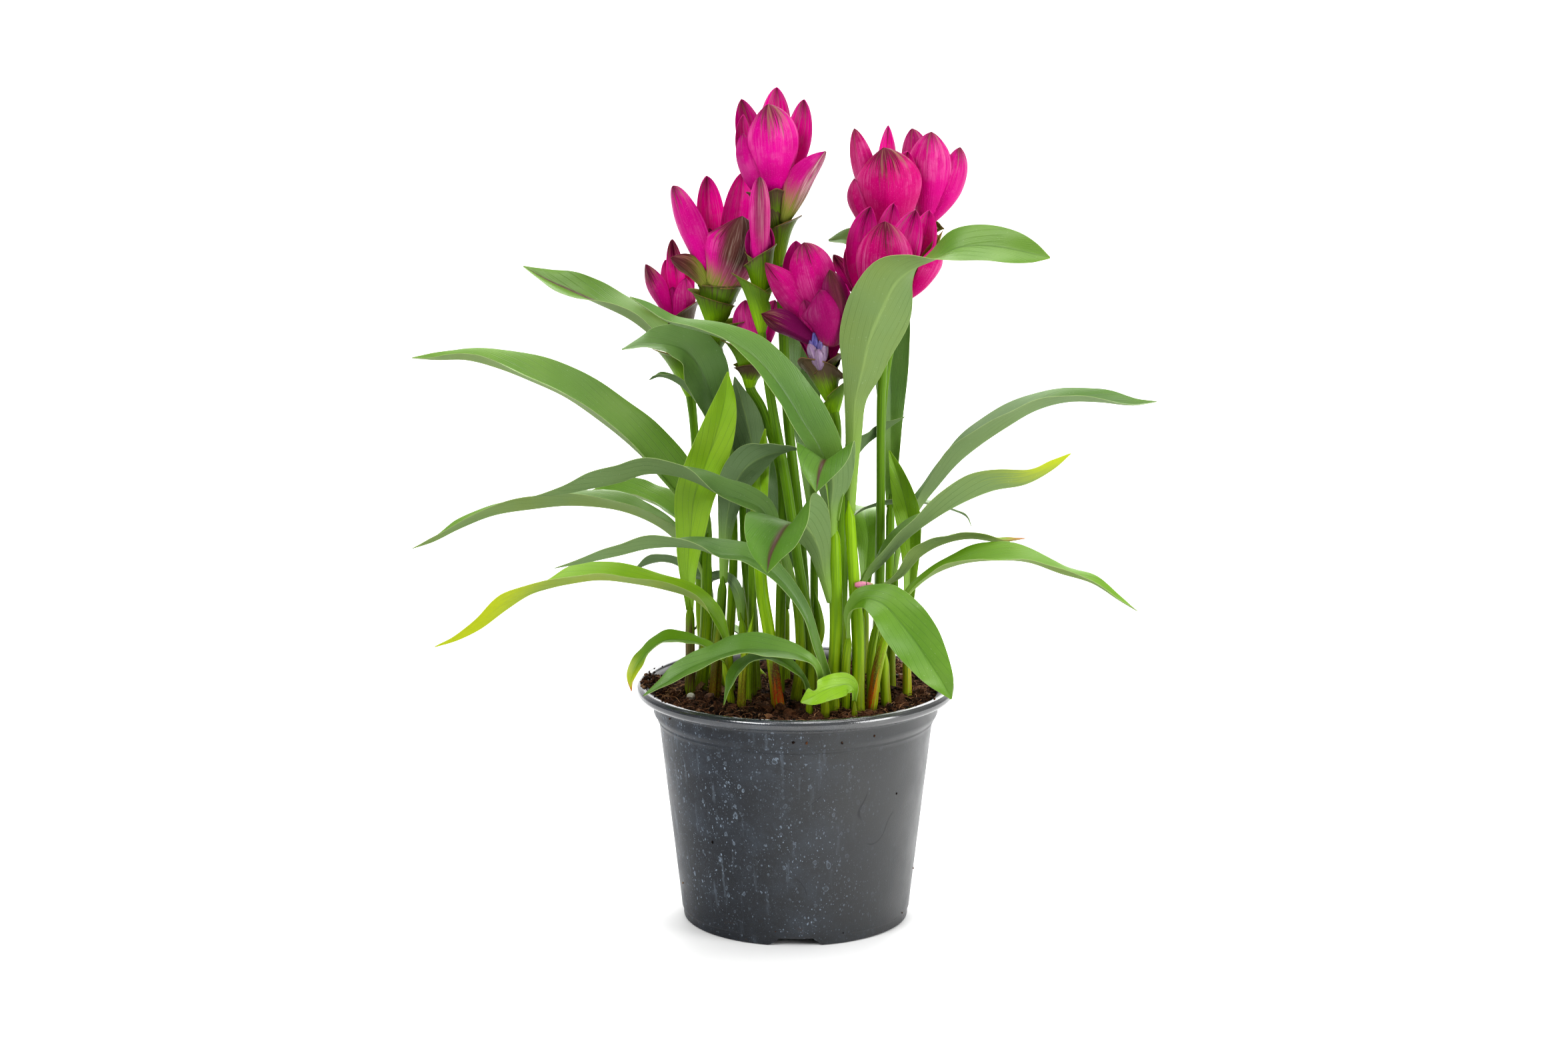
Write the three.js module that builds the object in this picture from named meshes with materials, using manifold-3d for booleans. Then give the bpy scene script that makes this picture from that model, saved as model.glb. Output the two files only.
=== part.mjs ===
// Potted curcuma: a Siam tulip with nine flower heads in a round nursery pot.
// Millimetres, +Z up. The origin is the middle of the pot's foot, on the surface that it stands on.
import * as THREE from "three";
import { mergeVertices } from "three/addons/utils/BufferGeometryUtils.js";
import Module from "manifold-3d";

const wasm = await Module();
wasm.setup();

// Pot
const POT_HEIGHT = 143;
const RIM_RADIUS = 95;
const LIP_DEPTH = 6.5;
const COLLAR_RADIUS = 85.4;
const STEP_BELOW_RIM = 22.5;
const STEP_RADIUS = 81.7;
const WALL_FOOT_RADIUS = 68.3;
const FOOT_RADIUS = 67.4;
const FOOT_BAND = 5;
const WALL = 1.6;
const FLOOR = 1.8;
const CHANNEL_HEIGHT = 4;
const CHANNEL_INNER = 46;
const CHANNEL_OUTER = 61.5;
const SIDES = 24;
const NOTCHES = 3;
const NOTCH = { bottom: 32, top: 19.5, height: 4.5 };
const DRAINS = 6;
const DRAIN_RADIUS = 4.5;
const DRAIN_SIDES = 6;

// Soil
const GAP = 0.3;
const SOIL = 137;
const BURIED = 24;
const HOLE_GAP = 0.42;

// Plant
const LEAF_THICKNESS = 0.9;
const BRACT_THICKNESS = 0.9;
const CORE_RADIUS = 3.8;
const BRACT_SEAT = 2.4;
const BRACT_FACING = 0.8;
const CUP_CURL = 1.25;
const CROWN_CURL = 0.95;
const PETAL_CURL = 0.9;
const STEM_SIDES = 5;
const EDGE_WAVE = 1.1;

// The plant's points are [u, v, d]: u to the right and v up, in a front view from the point EYE, and d the
// depth behind the pot's axis. A point is carried along its line of sight to that depth.
const EYE = new THREE.Vector3(-7, -2000, 643);

function front([u, v, d]) {
  const reach = 1 - d / EYE.y;
  return new THREE.Vector3(EYE.x + (u - EYE.x) * reach, d, EYE.z + (v - EYE.z) * reach);
}

// Colours and finishes
const matt = (color, roughness = 0.6) => new THREE.MeshStandardMaterial({ color, roughness, metalness: 0 });
const POT_PLASTIC = matt(0x45474a, 0.45);
const PEAT = matt(0x3a281b, 0.95);
const LEAF_GREEN = matt(0x4c7f2c, 0.45);
const CUP_GREEN = matt(0x6f8f2e, 0.5);
const MAGENTA = matt(0xcb0a86, 0.5);
const PALE_VIOLET = matt(0xb9a6d3, 0.5);
const PINK = matt(0xb06a86, 0.7);
const PERLITE = matt(0xe6e4dc, 0.9);
const CLAY = matt(0x6b4a33, 0.85);
const TAN = matt(0xb08a5f, 0.85);
const BARK = matt(0x8f8478, 0.9);

const plant = new THREE.Group();

// A closed three.js geometry as a solid, turned right side out, with its doubled vertices merged.
function solid(geometry) {
  const bare = new THREE.BufferGeometry();
  bare.setAttribute("position", geometry.getAttribute("position"));
  bare.setIndex(geometry.getIndex() ?? [...Array(geometry.getAttribute("position").count).keys()]);
  const merged = mergeVertices(bare, 1e-4);
  const index = merged.getIndex().array;
  const triangles = [];
  for (let i = 0; i < index.length; i += 3) {
    const [a, b, c] = [index[i], index[i + 1], index[i + 2]];
    if (a !== b && b !== c && c !== a) triangles.push(a, b, c);
  }
  const vertices = merged.getAttribute("position").array;
  const corner = (i) => new THREE.Vector3().fromArray(vertices, 3 * triangles[i]);
  let volume = 0;
  for (let i = 0; i < triangles.length; i += 3) {
    volume += corner(i).dot(corner(i + 1).cross(corner(i + 2)));
  }
  if (volume < 0) triangles.reverse();
  return new wasm.Manifold(new wasm.Mesh({
    numProp: 3, vertProperties: new Float32Array(vertices), triVerts: new Uint32Array(triangles),
  }));
}

const join = (solids) => solids.reduce((sum, next) => sum.add(next));

// The largest connected piece: loose scraps are dropped and sealed pockets are filled.
function whole(body) {
  const pieces = body.decompose();
  return pieces.reduce((best, next) => (next.volume() > best.volume() ? next : best));
}

function addPart(name, body, material) {
  const mesh = whole(body).getMesh();
  const geometry = new THREE.BufferGeometry();
  geometry.setAttribute("position", new THREE.BufferAttribute(new Float32Array(mesh.vertProperties), 3));
  geometry.setIndex(new THREE.BufferAttribute(new Uint32Array(mesh.triVerts), 1));
  geometry.computeVertexNormals();
  const node = new THREE.Mesh(geometry, material);
  node.name = name;
  plant.add(node);
}

// A closed grid of points: rows[i][j], with both faces split alike, half a thickness either side.
function sheet(rows, thickness) {
  const [n, m] = [rows.length, rows[0].length];
  const positions = [];
  for (const side of [0.5, -0.5]) {
    for (let i = 0; i < n; i++) {
      for (let j = 0; j < m; j++) {
        const along = rows[Math.min(i + 1, n - 1)][j].clone().sub(rows[Math.max(i - 1, 0)][j]);
        const across = rows[i][Math.min(j + 1, m - 1)].clone().sub(rows[i][Math.max(j - 1, 0)]);
        const normal = across.cross(along).normalize();
        positions.push(...rows[i][j].clone().addScaledVector(normal, side * thickness).toArray());
      }
    }
  }
  const at = (face, i, j) => (face * n + i) * m + j;
  const index = [];
  const quad = (a, b, c, d) => index.push(a, b, c, a, c, d);
  for (let i = 0; i < n - 1; i++) {
    for (let j = 0; j < m - 1; j++) {
      quad(at(0, i, j), at(0, i, j + 1), at(0, i + 1, j + 1), at(0, i + 1, j));
      index.push(at(1, i, j), at(1, i + 1, j + 1), at(1, i, j + 1));
      index.push(at(1, i, j), at(1, i + 1, j), at(1, i + 1, j + 1));
    }
    quad(at(0, i, 0), at(0, i + 1, 0), at(1, i + 1, 0), at(1, i, 0));
    quad(at(0, i + 1, m - 1), at(0, i, m - 1), at(1, i, m - 1), at(1, i + 1, m - 1));
  }
  for (let j = 0; j < m - 1; j++) {
    quad(at(0, 0, j + 1), at(0, 0, j), at(1, 0, j), at(1, 0, j + 1));
    quad(at(0, n - 1, j), at(0, n - 1, j + 1), at(1, n - 1, j + 1), at(1, n - 1, j));
  }
  const geometry = new THREE.BufferGeometry();
  geometry.setAttribute("position", new THREE.Float32BufferAttribute(positions, 3));
  geometry.setIndex(index);
  return solid(geometry);
}

// A round stem: rings about points, of the radius given for each, with flat ends.
function stem(points, radii) {
  const last = points.length - 1;
  const positions = points.flatMap((point, i) => {
    const tangent = points[Math.min(i + 1, last)].clone().sub(points[Math.max(i - 1, 0)]).normalize();
    const right = new THREE.Vector3(1, 0, 0).addScaledVector(tangent, -tangent.x).normalize();
    const back = tangent.clone().cross(right);
    return [...Array(STEM_SIDES).keys()].flatMap((k) => {
      const turn = (2 * Math.PI * k) / STEM_SIDES;
      return point.clone()
        .addScaledVector(right, radii[i] * Math.cos(turn))
        .addScaledVector(back, radii[i] * Math.sin(turn))
        .toArray();
    });
  });
  const index = [];
  for (let i = 0; i < last; i++) {
    for (let k = 0; k < STEM_SIDES; k++) {
      const next = (k + 1) % STEM_SIDES;
      const [a, b] = [i * STEM_SIDES + k, i * STEM_SIDES + next];
      index.push(a, b, b + STEM_SIDES, a, b + STEM_SIDES, a + STEM_SIDES);
    }
  }
  const top = last * STEM_SIDES;
  for (let k = 1; k < STEM_SIDES - 1; k++) {
    index.push(0, k + 1, k);
    index.push(top, top + k, top + k + 1);
  }
  const geometry = new THREE.BufferGeometry();
  geometry.setAttribute("position", new THREE.Float32BufferAttribute(positions, 3));
  geometry.setIndex(index);
  return solid(geometry);
}

// A leaf from rows [u, v, d, width, turn] along its rib. At turn 0 its upper face looks at the eye, and turn
// rolls it about the rib, in degrees. Its halves rise by fold towards the upper face, and its edges wave.
// across, if given, is the direction of its width, for a leaf that points at the eye or away from it.
const LEAF_ACROSS = [-1, 0, 1];

function leaf(rows, { fold = 34, across = null, phase = 0, wave = EDGE_WAVE } = {}) {
  const rib = new THREE.CatmullRomCurve3(rows.map(front));
  const blade = new THREE.CatmullRomCurve3(
    rows.map((row) => new THREE.Vector3(row[3], row[4], 0)), false, "catmullrom", 0.5);
  const steps = Math.max(6, Math.round(rows.length * 0.8));
  const rise = THREE.MathUtils.degToRad(fold);
  const grid = [];
  for (let i = 0; i <= steps; i++) {
    const t = i / steps;
    const point = rib.getPoint(t);
    const tangent = rib.getTangent(t);
    const side = across
      ? new THREE.Vector3(...across).addScaledVector(tangent, -tangent.dot(new THREE.Vector3(...across)))
      : tangent.clone().cross(EYE.clone().sub(point));
    side.normalize();
    const face = side.clone().cross(tangent);
    const turn = THREE.MathUtils.degToRad(blade.getPoint(t).y);
    const normal = face.clone().multiplyScalar(Math.cos(turn)).addScaledVector(side, Math.sin(turn));
    const edge = side.clone().multiplyScalar(Math.cos(turn)).addScaledVector(face, -Math.sin(turn));
    const half = Math.max(blade.getPoint(t).x, 1) / 2;
    const swing = wave * Math.min(1, half / 8);
    grid.push(LEAF_ACROSS.map((q) => {
      const ripple = swing * q * q * Math.sin(2 * Math.PI * (2.6 * t + phase) + 1.3 * q);
      return point.clone()
        .addScaledVector(edge, q * half * Math.cos(rise))
        .addScaledVector(normal, Math.abs(q) * half * Math.sin(rise) + ripple);
    }));
  }
  return sheet(grid, LEAF_THICKNESS);
}

// The cutters for the plain holes in which the stems stand.
const holes = [];

// A stem from its foot [x, y] on the soil through rows [u, v, d, radius], with its straight buried end.
function rooted(foot, rows) {
  const ground = new THREE.Vector3(foot[0], foot[1], SOIL);
  const steps = rows.length + 1;
  const rings = new THREE.CatmullRomCurve3([ground, ...rows.map(front)]).getPoints(steps);
  const radii = new THREE.CatmullRomCurve3(
    [rows[0], ...rows].map((row) => new THREE.Vector3(row[3], 0, 0))).getPoints(steps).map((p) => p.x);
  const down = rings[0].clone().sub(rings[1]).normalize();
  const below = (depth) => ground.clone().addScaledVector(down, depth);
  const bore = radii[0] + HOLE_GAP;
  holes.push(stem([below(BURIED + GAP), below(-6)], [bore, bore]));
  return stem([below(BURIED), ...rings], [radii[0], ...radii]);
}

// A bract from the head's centre to its tip, boat-shaped. Its back faces away from the head's axis, and more
// to the front or the rear than its tip does. It bows out that way by bulge, and its width curls inwards by
// cup on each side, in radians. grow makes it stouter all round.
const BRACT_ACROSS = [-1, 0, 1];

function bract(centre, axis, [u, v, d, width, bulge], cup, stations, grow = 0) {
  const tip = front([u, v, d]);
  const outward = tip.clone().sub(centre).normalize();
  outward.y += tip.y < centre.y + 2 ? -BRACT_FACING : BRACT_FACING;
  outward.addScaledVector(axis, -outward.dot(axis)).normalize();
  const base = centre.clone().addScaledVector(outward, BRACT_SEAT);
  const reach = tip.sub(base);
  const bow = outward.clone().multiplyScalar(1.35 * bulge);
  const rib = new THREE.CubicBezierCurve3(
    base, base.clone().addScaledVector(reach, 0.3).add(bow),
    base.clone().addScaledVector(reach, 0.72).add(bow), base.clone().add(reach));
  const grid = [];
  for (const t of stations) {
    const tangent = rib.getTangent(t);
    const inward = outward.clone().negate().addScaledVector(tangent, outward.dot(tangent)).normalize();
    const edge = tangent.clone().cross(inward);
    const round = Math.sin(Math.PI * (0.03 + 0.97 * t)) ** 0.7;
    const span = Math.max(width * round, 1) + 2 * grow;
    const radius = span / (2 * cup);
    grid.push(BRACT_ACROSS.map((q) => rib.getPoint(t)
      .addScaledVector(edge, radius * Math.sin(cup * q))
      .addScaledVector(inward, radius * (1 - Math.cos(cup * q)))));
  }
  return sheet(grid, BRACT_THICKNESS + 2 * grow);
}

// A flower head on a stalk that ends in the head's core, from low to high: green cup-shaped bracts about
// the core, and the magenta crown on a hub above it. The crown keeps a narrow gap to the green, and both
// keep clear of the solids in clear.
const CUP_STATIONS = [0, 0.6, 1];
const CROWN_STATIONS = [0, 0.4, 0.78, 1];
const CUP_SEAT = { first: 0.25, step: 0.2, last: 0.8 };
const CROWN_SEAT = 1.4;
const HUB = { low: 0.8, high: 7, foot: 3.4, tip: 2.4 };

function flowerHead(name, { low, high, cups, crown }, stalk, clear = []) {
  const [from, to] = [front(low), front(high)];
  const axis = to.clone().sub(from).normalize();
  const above = (height) => to.clone().addScaledVector(axis, height);
  const seat = (k) => from.clone().lerp(to, Math.min(CUP_SEAT.first + CUP_SEAT.step * k, CUP_SEAT.last));
  const green = (grow) => cups.map((row, k) => bract(seat(k), axis, row, CUP_CURL, CUP_STATIONS, grow));
  const core = stem([from, above(GAP)], [CORE_RADIUS + GAP, CORE_RADIUS + GAP]);
  const hub = stem([above(HUB.low), above(HUB.high)], [HUB.foot, HUB.tip]);
  const sails = crown.map((row) => bract(above(CROWN_SEAT), axis, row, CROWN_CURL, CROWN_STATIONS));
  const magenta = join([hub, ...sails]);
  addPart(`crown_${name}`, magenta.subtract(join([core, ...green(GAP), ...clear])), MAGENTA);
  return clear.reduce((body, cutter) => body.subtract(cutter), join([stalk, ...green(0)]));
}

// The pot: one turned profile, from the middle of its foot out, up over the lip and back down inside.
{
  const top = POT_HEIGHT;
  const step = top - STEP_BELOW_RIM;
  const profile = [
    [0, 0], [CHANNEL_INNER - 1, 0], [CHANNEL_INNER, CHANNEL_HEIGHT], [CHANNEL_OUTER, CHANNEL_HEIGHT],
    [CHANNEL_OUTER + 0.5, 0], [FOOT_RADIUS, 0], [FOOT_RADIUS, FOOT_BAND],
    [WALL_FOOT_RADIUS, FOOT_BAND + 0.8],
    [STEP_RADIUS, step], [STEP_RADIUS + 2.5, step + 3.5], [COLLAR_RADIUS - 0.2, step + 7],
    [COLLAR_RADIUS, top - LIP_DEPTH - 2], [COLLAR_RADIUS + 2.5, top - LIP_DEPTH],
    [RIM_RADIUS - 1.5, top - LIP_DEPTH + 0.5], [RIM_RADIUS, top - 4], [RIM_RADIUS - 0.6, top - 1.2],
    [RIM_RADIUS - 3, top], [RIM_RADIUS - 5.5, top - 0.6], [COLLAR_RADIUS - WALL + 0.4, top - 6],
    [COLLAR_RADIUS - WALL, step + 7], [STEP_RADIUS - WALL, step - 1],
    [WALL_FOOT_RADIUS - WALL, CHANNEL_HEIGHT + FLOOR], [CHANNEL_INNER - FLOOR, CHANNEL_HEIGHT + FLOOR],
    [CHANNEL_INNER - 1 - FLOOR, FLOOR], [0, FLOOR],
  ];
  const lathe = new THREE.LatheGeometry(profile.map(([r, z]) => new THREE.Vector2(r, z)), SIDES);
  lathe.rotateX(Math.PI / 2);
  let pot = solid(lathe);
  for (let k = 0; k < NOTCHES; k++) {
    const notch = new THREE.Shape();
    notch.moveTo(-NOTCH.bottom / 2, -1);
    notch.lineTo(NOTCH.bottom / 2, -1);
    notch.lineTo(NOTCH.top / 2, NOTCH.height);
    notch.lineTo(-NOTCH.top / 2, NOTCH.height);
    const slot = new THREE.ExtrudeGeometry(notch, { depth: 12, bevelEnabled: false });
    slot.rotateX(Math.PI / 2);
    slot.translate(0, -FOOT_RADIUS + 8, 0);
    slot.rotateZ((2 * Math.PI * k) / NOTCHES);
    pot = pot.subtract(solid(slot));
  }
  for (let k = 0; k < DRAINS; k++) {
    const drain = new THREE.CylinderGeometry(DRAIN_RADIUS, DRAIN_RADIUS, 12, DRAIN_SIDES);
    drain.rotateX(Math.PI / 2);
    drain.translate(0, -(CHANNEL_INNER + CHANNEL_OUTER) / 2, CHANNEL_HEIGHT);
    drain.rotateZ((2 * Math.PI * (k + 0.5)) / DRAINS);
    pot = pot.subtract(solid(drain));
  }
  addPart("pot", pot, POT_PLASTIC);
}

// Leafy shoots: feet [x, y] on the soil, stems as [u, v, d, radius] and leaves as [u, v, d, width, turn].
const FORWARD = [-1, 0, 0];
const BACKWARD = [1, 0, 0];

const shoots = {
  shoot_tall_left: {
    foot: [-63, -9], stem: [[-63, 164, -9, 2.8], [-63, 193, -10, 2.6]],
    leaves: [[[
      [-63, 187, -10, 6, 0], [-64, 213, -10, 12, 0], [-62, 237, -11, 19, 0], [-60, 255, -12, 24, 0],
      [-54, 273, -12, 25, 5], [-47, 293, -11, 22, 10], [-42, 313, -9, 14, 10], [-40, 330, -7, 1, 10],
    ], { fold: 16 }]],
  },
  shoot_left: {
    foot: [-57, -1], stem: [[-54, 168, -2, 3.8], [-53, 193, 0, 3.6], [-53, 217, 2, 3.2], [-52, 233, 4, 2.6]],
    leaves: [[[
      [-53, 197, 0, 7, 60], [-58, 213, 5, 12, 70], [-72, 230, 9, 24, 78], [-84, 239, 11, 29, 82],
      [-104, 247, 12, 31, 82], [-132, 250, 14, 31, 84], [-155, 248, 17, 28, 88], [-179, 244, 20, 24, 90],
      [-199, 236, 22, 17, 88], [-215, 228, 24, 9, 85], [-227, 224, 25, 1, 85],
    ]], [[
      [-52, 221, 3, 7, 35], [-57, 239, 5, 16, 42], [-68, 255, 8, 30, 50], [-82, 271, 12, 40, 54],
      [-98, 287, 18, 44, 57], [-115, 301, 26, 44, 58], [-135, 315, 35, 40, 60], [-154, 324, 44, 35, 62],
      [-174, 332, 52, 29, 66], [-193, 337, 60, 21, 70], [-211, 337, 66, 12, 72], [-225, 338, 70, 1, 72],
    ], { fold: 40, phase: 0.4 }]],
  },
  shoot_curled: {
    foot: [-48, -12], stem: [[-46, 168, -12, 3.4], [-44, 193, -12, 2.9], [-43, 209, -12, 2.6]],
    leaves: [[[
      [-43, 203, -12, 6, -180], [-42, 229, -14, 9, -180], [-40, 247, -17, 13, -180],
      [-36, 263, -20, 20, -170], [-27, 275, -23, 23, -160], [-15, 281, -27, 18, -130],
      [-5, 283, -33, 12, -100], [4, 283, -38, 9, -80], [11, 281, -41, 1, -70],
    ], { fold: 20 }]],
  },
  shoot_broad_left: {
    foot: [-42, 6], stem: [[-38, 193, 8, 2.7], [-37, 241, 9, 2.4], [-40, 273, 9, 2.2]],
    leaves: [[[
      [-40, 269, 9, 7, 20], [-43, 295, 9, 14, 20], [-49, 314, 7, 24, 22], [-57, 333, 5, 33, 28],
      [-65, 342, 2, 33, 35], [-76, 346, -3, 25, 45], [-87, 346, -9, 14, 50], [-102, 343, -15, 1, 50],
    ], { fold: 20 }], [[
      [-39, 249, 12, 6, 60], [-49, 293, 24, 10, 70], [-60, 314, 32, 14, 80], [-71, 324, 38, 13, 85],
      [-80, 327, 42, 8, 85], [-86, 325, 44, 1, 85],
    ]]],
  },
  shoot_behind_left: {
    foot: [-46, 24], stem: [[-50, 173, 23, 2.8], [-52, 207, 21, 2.6]],
    leaves: [[[
      [-52, 203, 20, 6, 50], [-59, 231, 28, 14, 55], [-73, 245, 34, 24, 58], [-88, 253, 42, 28, 60],
      [-106, 258, 50, 22, 66], [-123, 258, 58, 1, 66],
    ]]],
  },
  shoot_bright: {
    foot: [-10, -44],
    stem: [[-16, 173, -37, 3.6], [-20, 197, -34, 3.6], [-22, 221, -30, 3.4], [-23, 236, -27, 3.2]],
    leaves: [[[
      [-23, 230, -27, 8, -10], [-21, 257, -15, 11, -10], [-20, 277, -8, 9, -10], [-18, 296, -6, 1, -10],
    ], { fold: 25 }]],
  },
  shoot_grey: {
    foot: [-29, -24], stem: [[-31, 168, -22, 2.6], [-33, 185, -21, 2.2]],
    leaves: [[[
      [-32, 180, -21, 5, -160], [-33, 193, -18, 7, -170], [-38, 204, -7, 7, -195], [-45, 207, 5, 8, -215],
      [-53, 206, 14, 9, -232], [-62, 209, 15, 12, -240], [-72, 215, 14, 14, -245], [-84, 216, 16, 12, -245],
      [-96, 211, 18, 1, -245],
    ], { fold: 20 }]],
  },
  shoot_crossing: {
    foot: [0, -25], stem: [[3, 160, -27, 3], [1, 189, -28, 2.7], [-3, 206, -30, 2.5]],
    leaves: [[[
      [-1, 197, -29, 6, 20], [-7, 216, -31, 9, 25], [-14, 234, -33, 12, 35], [-20, 247, -34, 16, 42],
      [-32, 253, -35, 19, 46], [-45, 257, -36, 21, 50], [-59, 264, -38, 23, 68], [-72, 268, -41, 26, 92],
      [-88, 269, -44, 29, 104], [-104, 264, -47, 29, 106], [-122, 260, -50, 23, 104],
      [-137, 257, -53, 13, 100], [-156, 255, -56, 1, 96],
    ], { phase: 0.2 }]],
  },
  shoot_low_left: {
    foot: [-38, -31], stem: [[-42, 150, -31, 2.2], [-44, 158, -32, 2]],
    leaves: [[[
      [-43, 155, -32, 5, 60], [-53, 164, -35, 11, 60], [-65, 168, -38, 14, 62], [-77, 168, -41, 15, 66],
      [-87, 162, -44, 14, 60], [-94, 153, -47, 11, 50], [-98, 144, -49, 6, 45], [-98, 137, -50, 1, 45],
    ], { fold: 20 }]],
  },
  shoot_yellow_left: {
    foot: [-38, -19], stem: [[-40, 160, -22, 2.4], [-41, 170, -23, 2.2]],
    leaves: [[[
      [-40, 165, -22, 5, -10], [-44, 175, -24, 8, 20], [-52, 186, -27, 14, 55], [-62, 194, -31, 20, 68],
      [-77, 199, -36, 25, 72], [-97, 203, -42, 29, 72], [-116, 205, -48, 29, 76], [-132, 203, -54, 26, 80],
      [-146, 200, -58, 17, 86], [-158, 196, -61, 15, 100], [-172, 187, -64, 22, 112],
      [-188, 175, -67, 18, 110], [-202, 168, -69, 9, 106], [-215, 164, -70, 1, 100],
    ], { fold: 35, phase: 0.7 }]],
  },
  shoot_front_dark: {
    foot: [17, -63], stem: [[17, 134, -64, 2.3], [13, 146, -67, 2.2]],
    leaves: [[[
      [16, 138, -66, 5, 20], [11, 153, -70, 7, 35], [1, 159, -74, 14, 48], [-17, 162, -77, 21, 54],
      [-33, 162, -82, 23, 56], [-49, 157, -86, 21, 56], [-65, 150, -89, 16, 54], [-79, 141, -91, 9, 50],
      [-91, 134, -93, 1, 50],
    ], { fold: 22 }]],
  },
  shoot_front_low: {
    foot: [8, -58], stem: [[8, 128, -59, 2], [7, 136, -61, 1.8]],
    leaves: [[[
      [8, 131, -60, 4, 20], [5, 143, -62, 5, 40], [-2, 151, -64, 9, 50], [-13, 157, -67, 13, 55],
      [-25, 156, -70, 14, 60], [-34, 150, -73, 12, 60], [-39, 140, -74, 8, 60], [-43, 128, -74, 1, 60],
    ], { fold: 22 }]],
  },
  shoot_bitten: {
    foot: [34, -66], stem: [[35, 126, -66, 1.6], [35, 134, -67, 1.4]],
    leaves: [[[
      [35, 131, -67, 3, 0], [34, 138, -68, 6, 20], [27, 140, -72, 14, 20], [18, 137, -76, 13, 20],
      [10, 133, -79, 8, 20], [3, 131, -80, 1, 20],
    ], { fold: 15 }]],
  },
  shoot_great_right: {
    foot: [36, -53],
    stem: [[37, 168, -51, 3.6], [35, 197, -50, 3.4], [33, 225, -50, 3.2], [31, 253, -50, 3]],
    leaves: [[[
      [32, 245, -50, 8, -180], [33, 273, -51, 10, -180], [34, 293, -52, 12, -180], [35, 313, -53, 15, -178],
      [39, 331, -55, 25, -175], [43, 349, -57, 36, -172], [50, 366, -58, 40, -165], [58, 382, -57, 36, -150],
      [67, 390, -57, 30, -120], [81, 396, -58, 25, -82], [95, 403, -61, 25, -38], [111, 404, -65, 25, -28],
      [126, 402, -70, 21, -22], [139, 399, -74, 12, -20], [148, 397, -77, 1, -20],
    ], { fold: 18 }]],
  },
  shoot_front_right: {
    foot: [29, -51], stem: [[30, 152, -57, 2.5], [32, 175, -59, 2.3]],
    leaves: [[[
      [32, 170, -59, 6, -80], [33, 186, -61, 9, -60], [41, 193, -64, 17, -45], [52, 190, -68, 27, -25],
      [63, 178, -72, 31, -15], [73, 165, -75, 29, -10], [81, 153, -78, 23, -5], [88, 142, -80, 14, 0],
      [93, 132, -82, 1, 0],
    ], { fold: 18 }]],
  },
  shoot_yellow_tip: {
    foot: [38, -28], stem: [[39, 168, -30, 2.6], [38, 191, -28, 2.4]],
    leaves: [[[
      [38, 183, -28, 6, -80], [42, 204, -29, 12, -80], [52, 215, -29, 20, -80], [65, 229, -26, 27, -84],
      [79, 240, -22, 30, -95], [97, 251, -16, 31, -108], [116, 259, -8, 29, -110], [136, 263, 2, 22, -110],
      [152, 272, 12, 12, -110], [162, 281, 22, 1, -110],
    ], { fold: 38, phase: 0.5 }]],
  },
  shoot_red_tip: {
    foot: [44, -36], stem: [[45, 160, -34, 2.4], [49, 183, -34, 2.2]],
    leaves: [[[
      [48, 180, -34, 5, -90], [53, 200, -35, 8, -95], [63, 207, -36, 14, -102], [75, 220, -37, 18, -104],
      [88, 227, -38, 19, -100], [103, 230, -39, 17, -88], [121, 228, -41, 10, -84], [136, 230, -43, 1, -84],
    ], { fold: 28 }]],
  },
  shoot_low_right: {
    foot: [44, -46], stem: [[49, 152, -43, 3], [55, 175, -41, 2.7], [62, 190, -39, 2.3]],
    leaves: [[[
      [60, 187, -39, 5, -75], [71, 200, -42, 9, -72], [83, 209, -46, 15, -70], [99, 215, -50, 22, -68],
      [117, 217, -54, 25, -66], [137, 216, -58, 22, -68], [157, 209, -62, 16, -72], [176, 203, -66, 12, -74],
      [193, 192, -70, 6, -76], [203, 186, -73, 1, -76],
    ], { fold: 32, phase: 0.3 }]],
  },
  shoot_far_right: {
    foot: [57, -5], stem: [[57, 168, -1, 2.6], [58, 197, 3, 2.4], [60, 212, 8, 2.2]],
    leaves: [[[
      [59, 205, 6, 5, -85], [64, 230, 16, 11, -85], [74, 249, 22, 20, -86], [84, 262, 28, 27, -86],
      [95, 275, 34, 32, -86], [108, 286, 41, 34, -84], [124, 297, 49, 34, -82], [141, 307, 57, 29, -76],
      [159, 312, 65, 22, -66], [178, 312, 73, 18, -62], [198, 310, 80, 10, -62], [212, 312, 86, 1, -62],
    ], { fold: 42, phase: 0.1 }]],
  },
  shoot_upright_right: {
    foot: [66, -18], stem: [[66, 168, -12, 2.6], [67, 195, -5, 2.6]],
    leaves: [[[
      [67, 189, -6, 7, 0], [68, 209, -2, 9, 0], [68, 225, 1, 13, -5], [67, 241, 3, 16, -8],
      [64, 255, 4, 15, -10], [60, 269, 5, 10, -10], [55, 283, 5, 1, -10],
    ], { fold: 22 }]],
  },
  shoot_high_left: {
    foot: [-30, 24], stem: [[-29, 197, 30, 2.9], [-28, 249, 36, 2.5]],
    leaves: [[[
      [-28, 241, 36, 7, 40], [-35, 293, 38, 13, 50], [-47, 317, 38, 22, 58], [-62, 336, 40, 29, 64],
      [-80, 348, 44, 32, 70], [-97, 361, 50, 33, 72], [-115, 370, 56, 30, 62], [-130, 377, 62, 24, 45],
      [-145, 384, 68, 15, 38], [-159, 392, 74, 1, 38],
    ], { fold: 34 }]],
  },
  shoot_shaded: {
    foot: [-26, -14], stem: [[-26, 193, -7, 2.5], [-26, 225, -3, 2.3]],
    leaves: [[[
      [-26, 217, -4, 6, -170], [-23, 257, 0, 15, -165], [-25, 281, 0, 23, -165], [-30, 305, 0, 19, -165],
      [-36, 327, 0, 1, -165],
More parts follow.
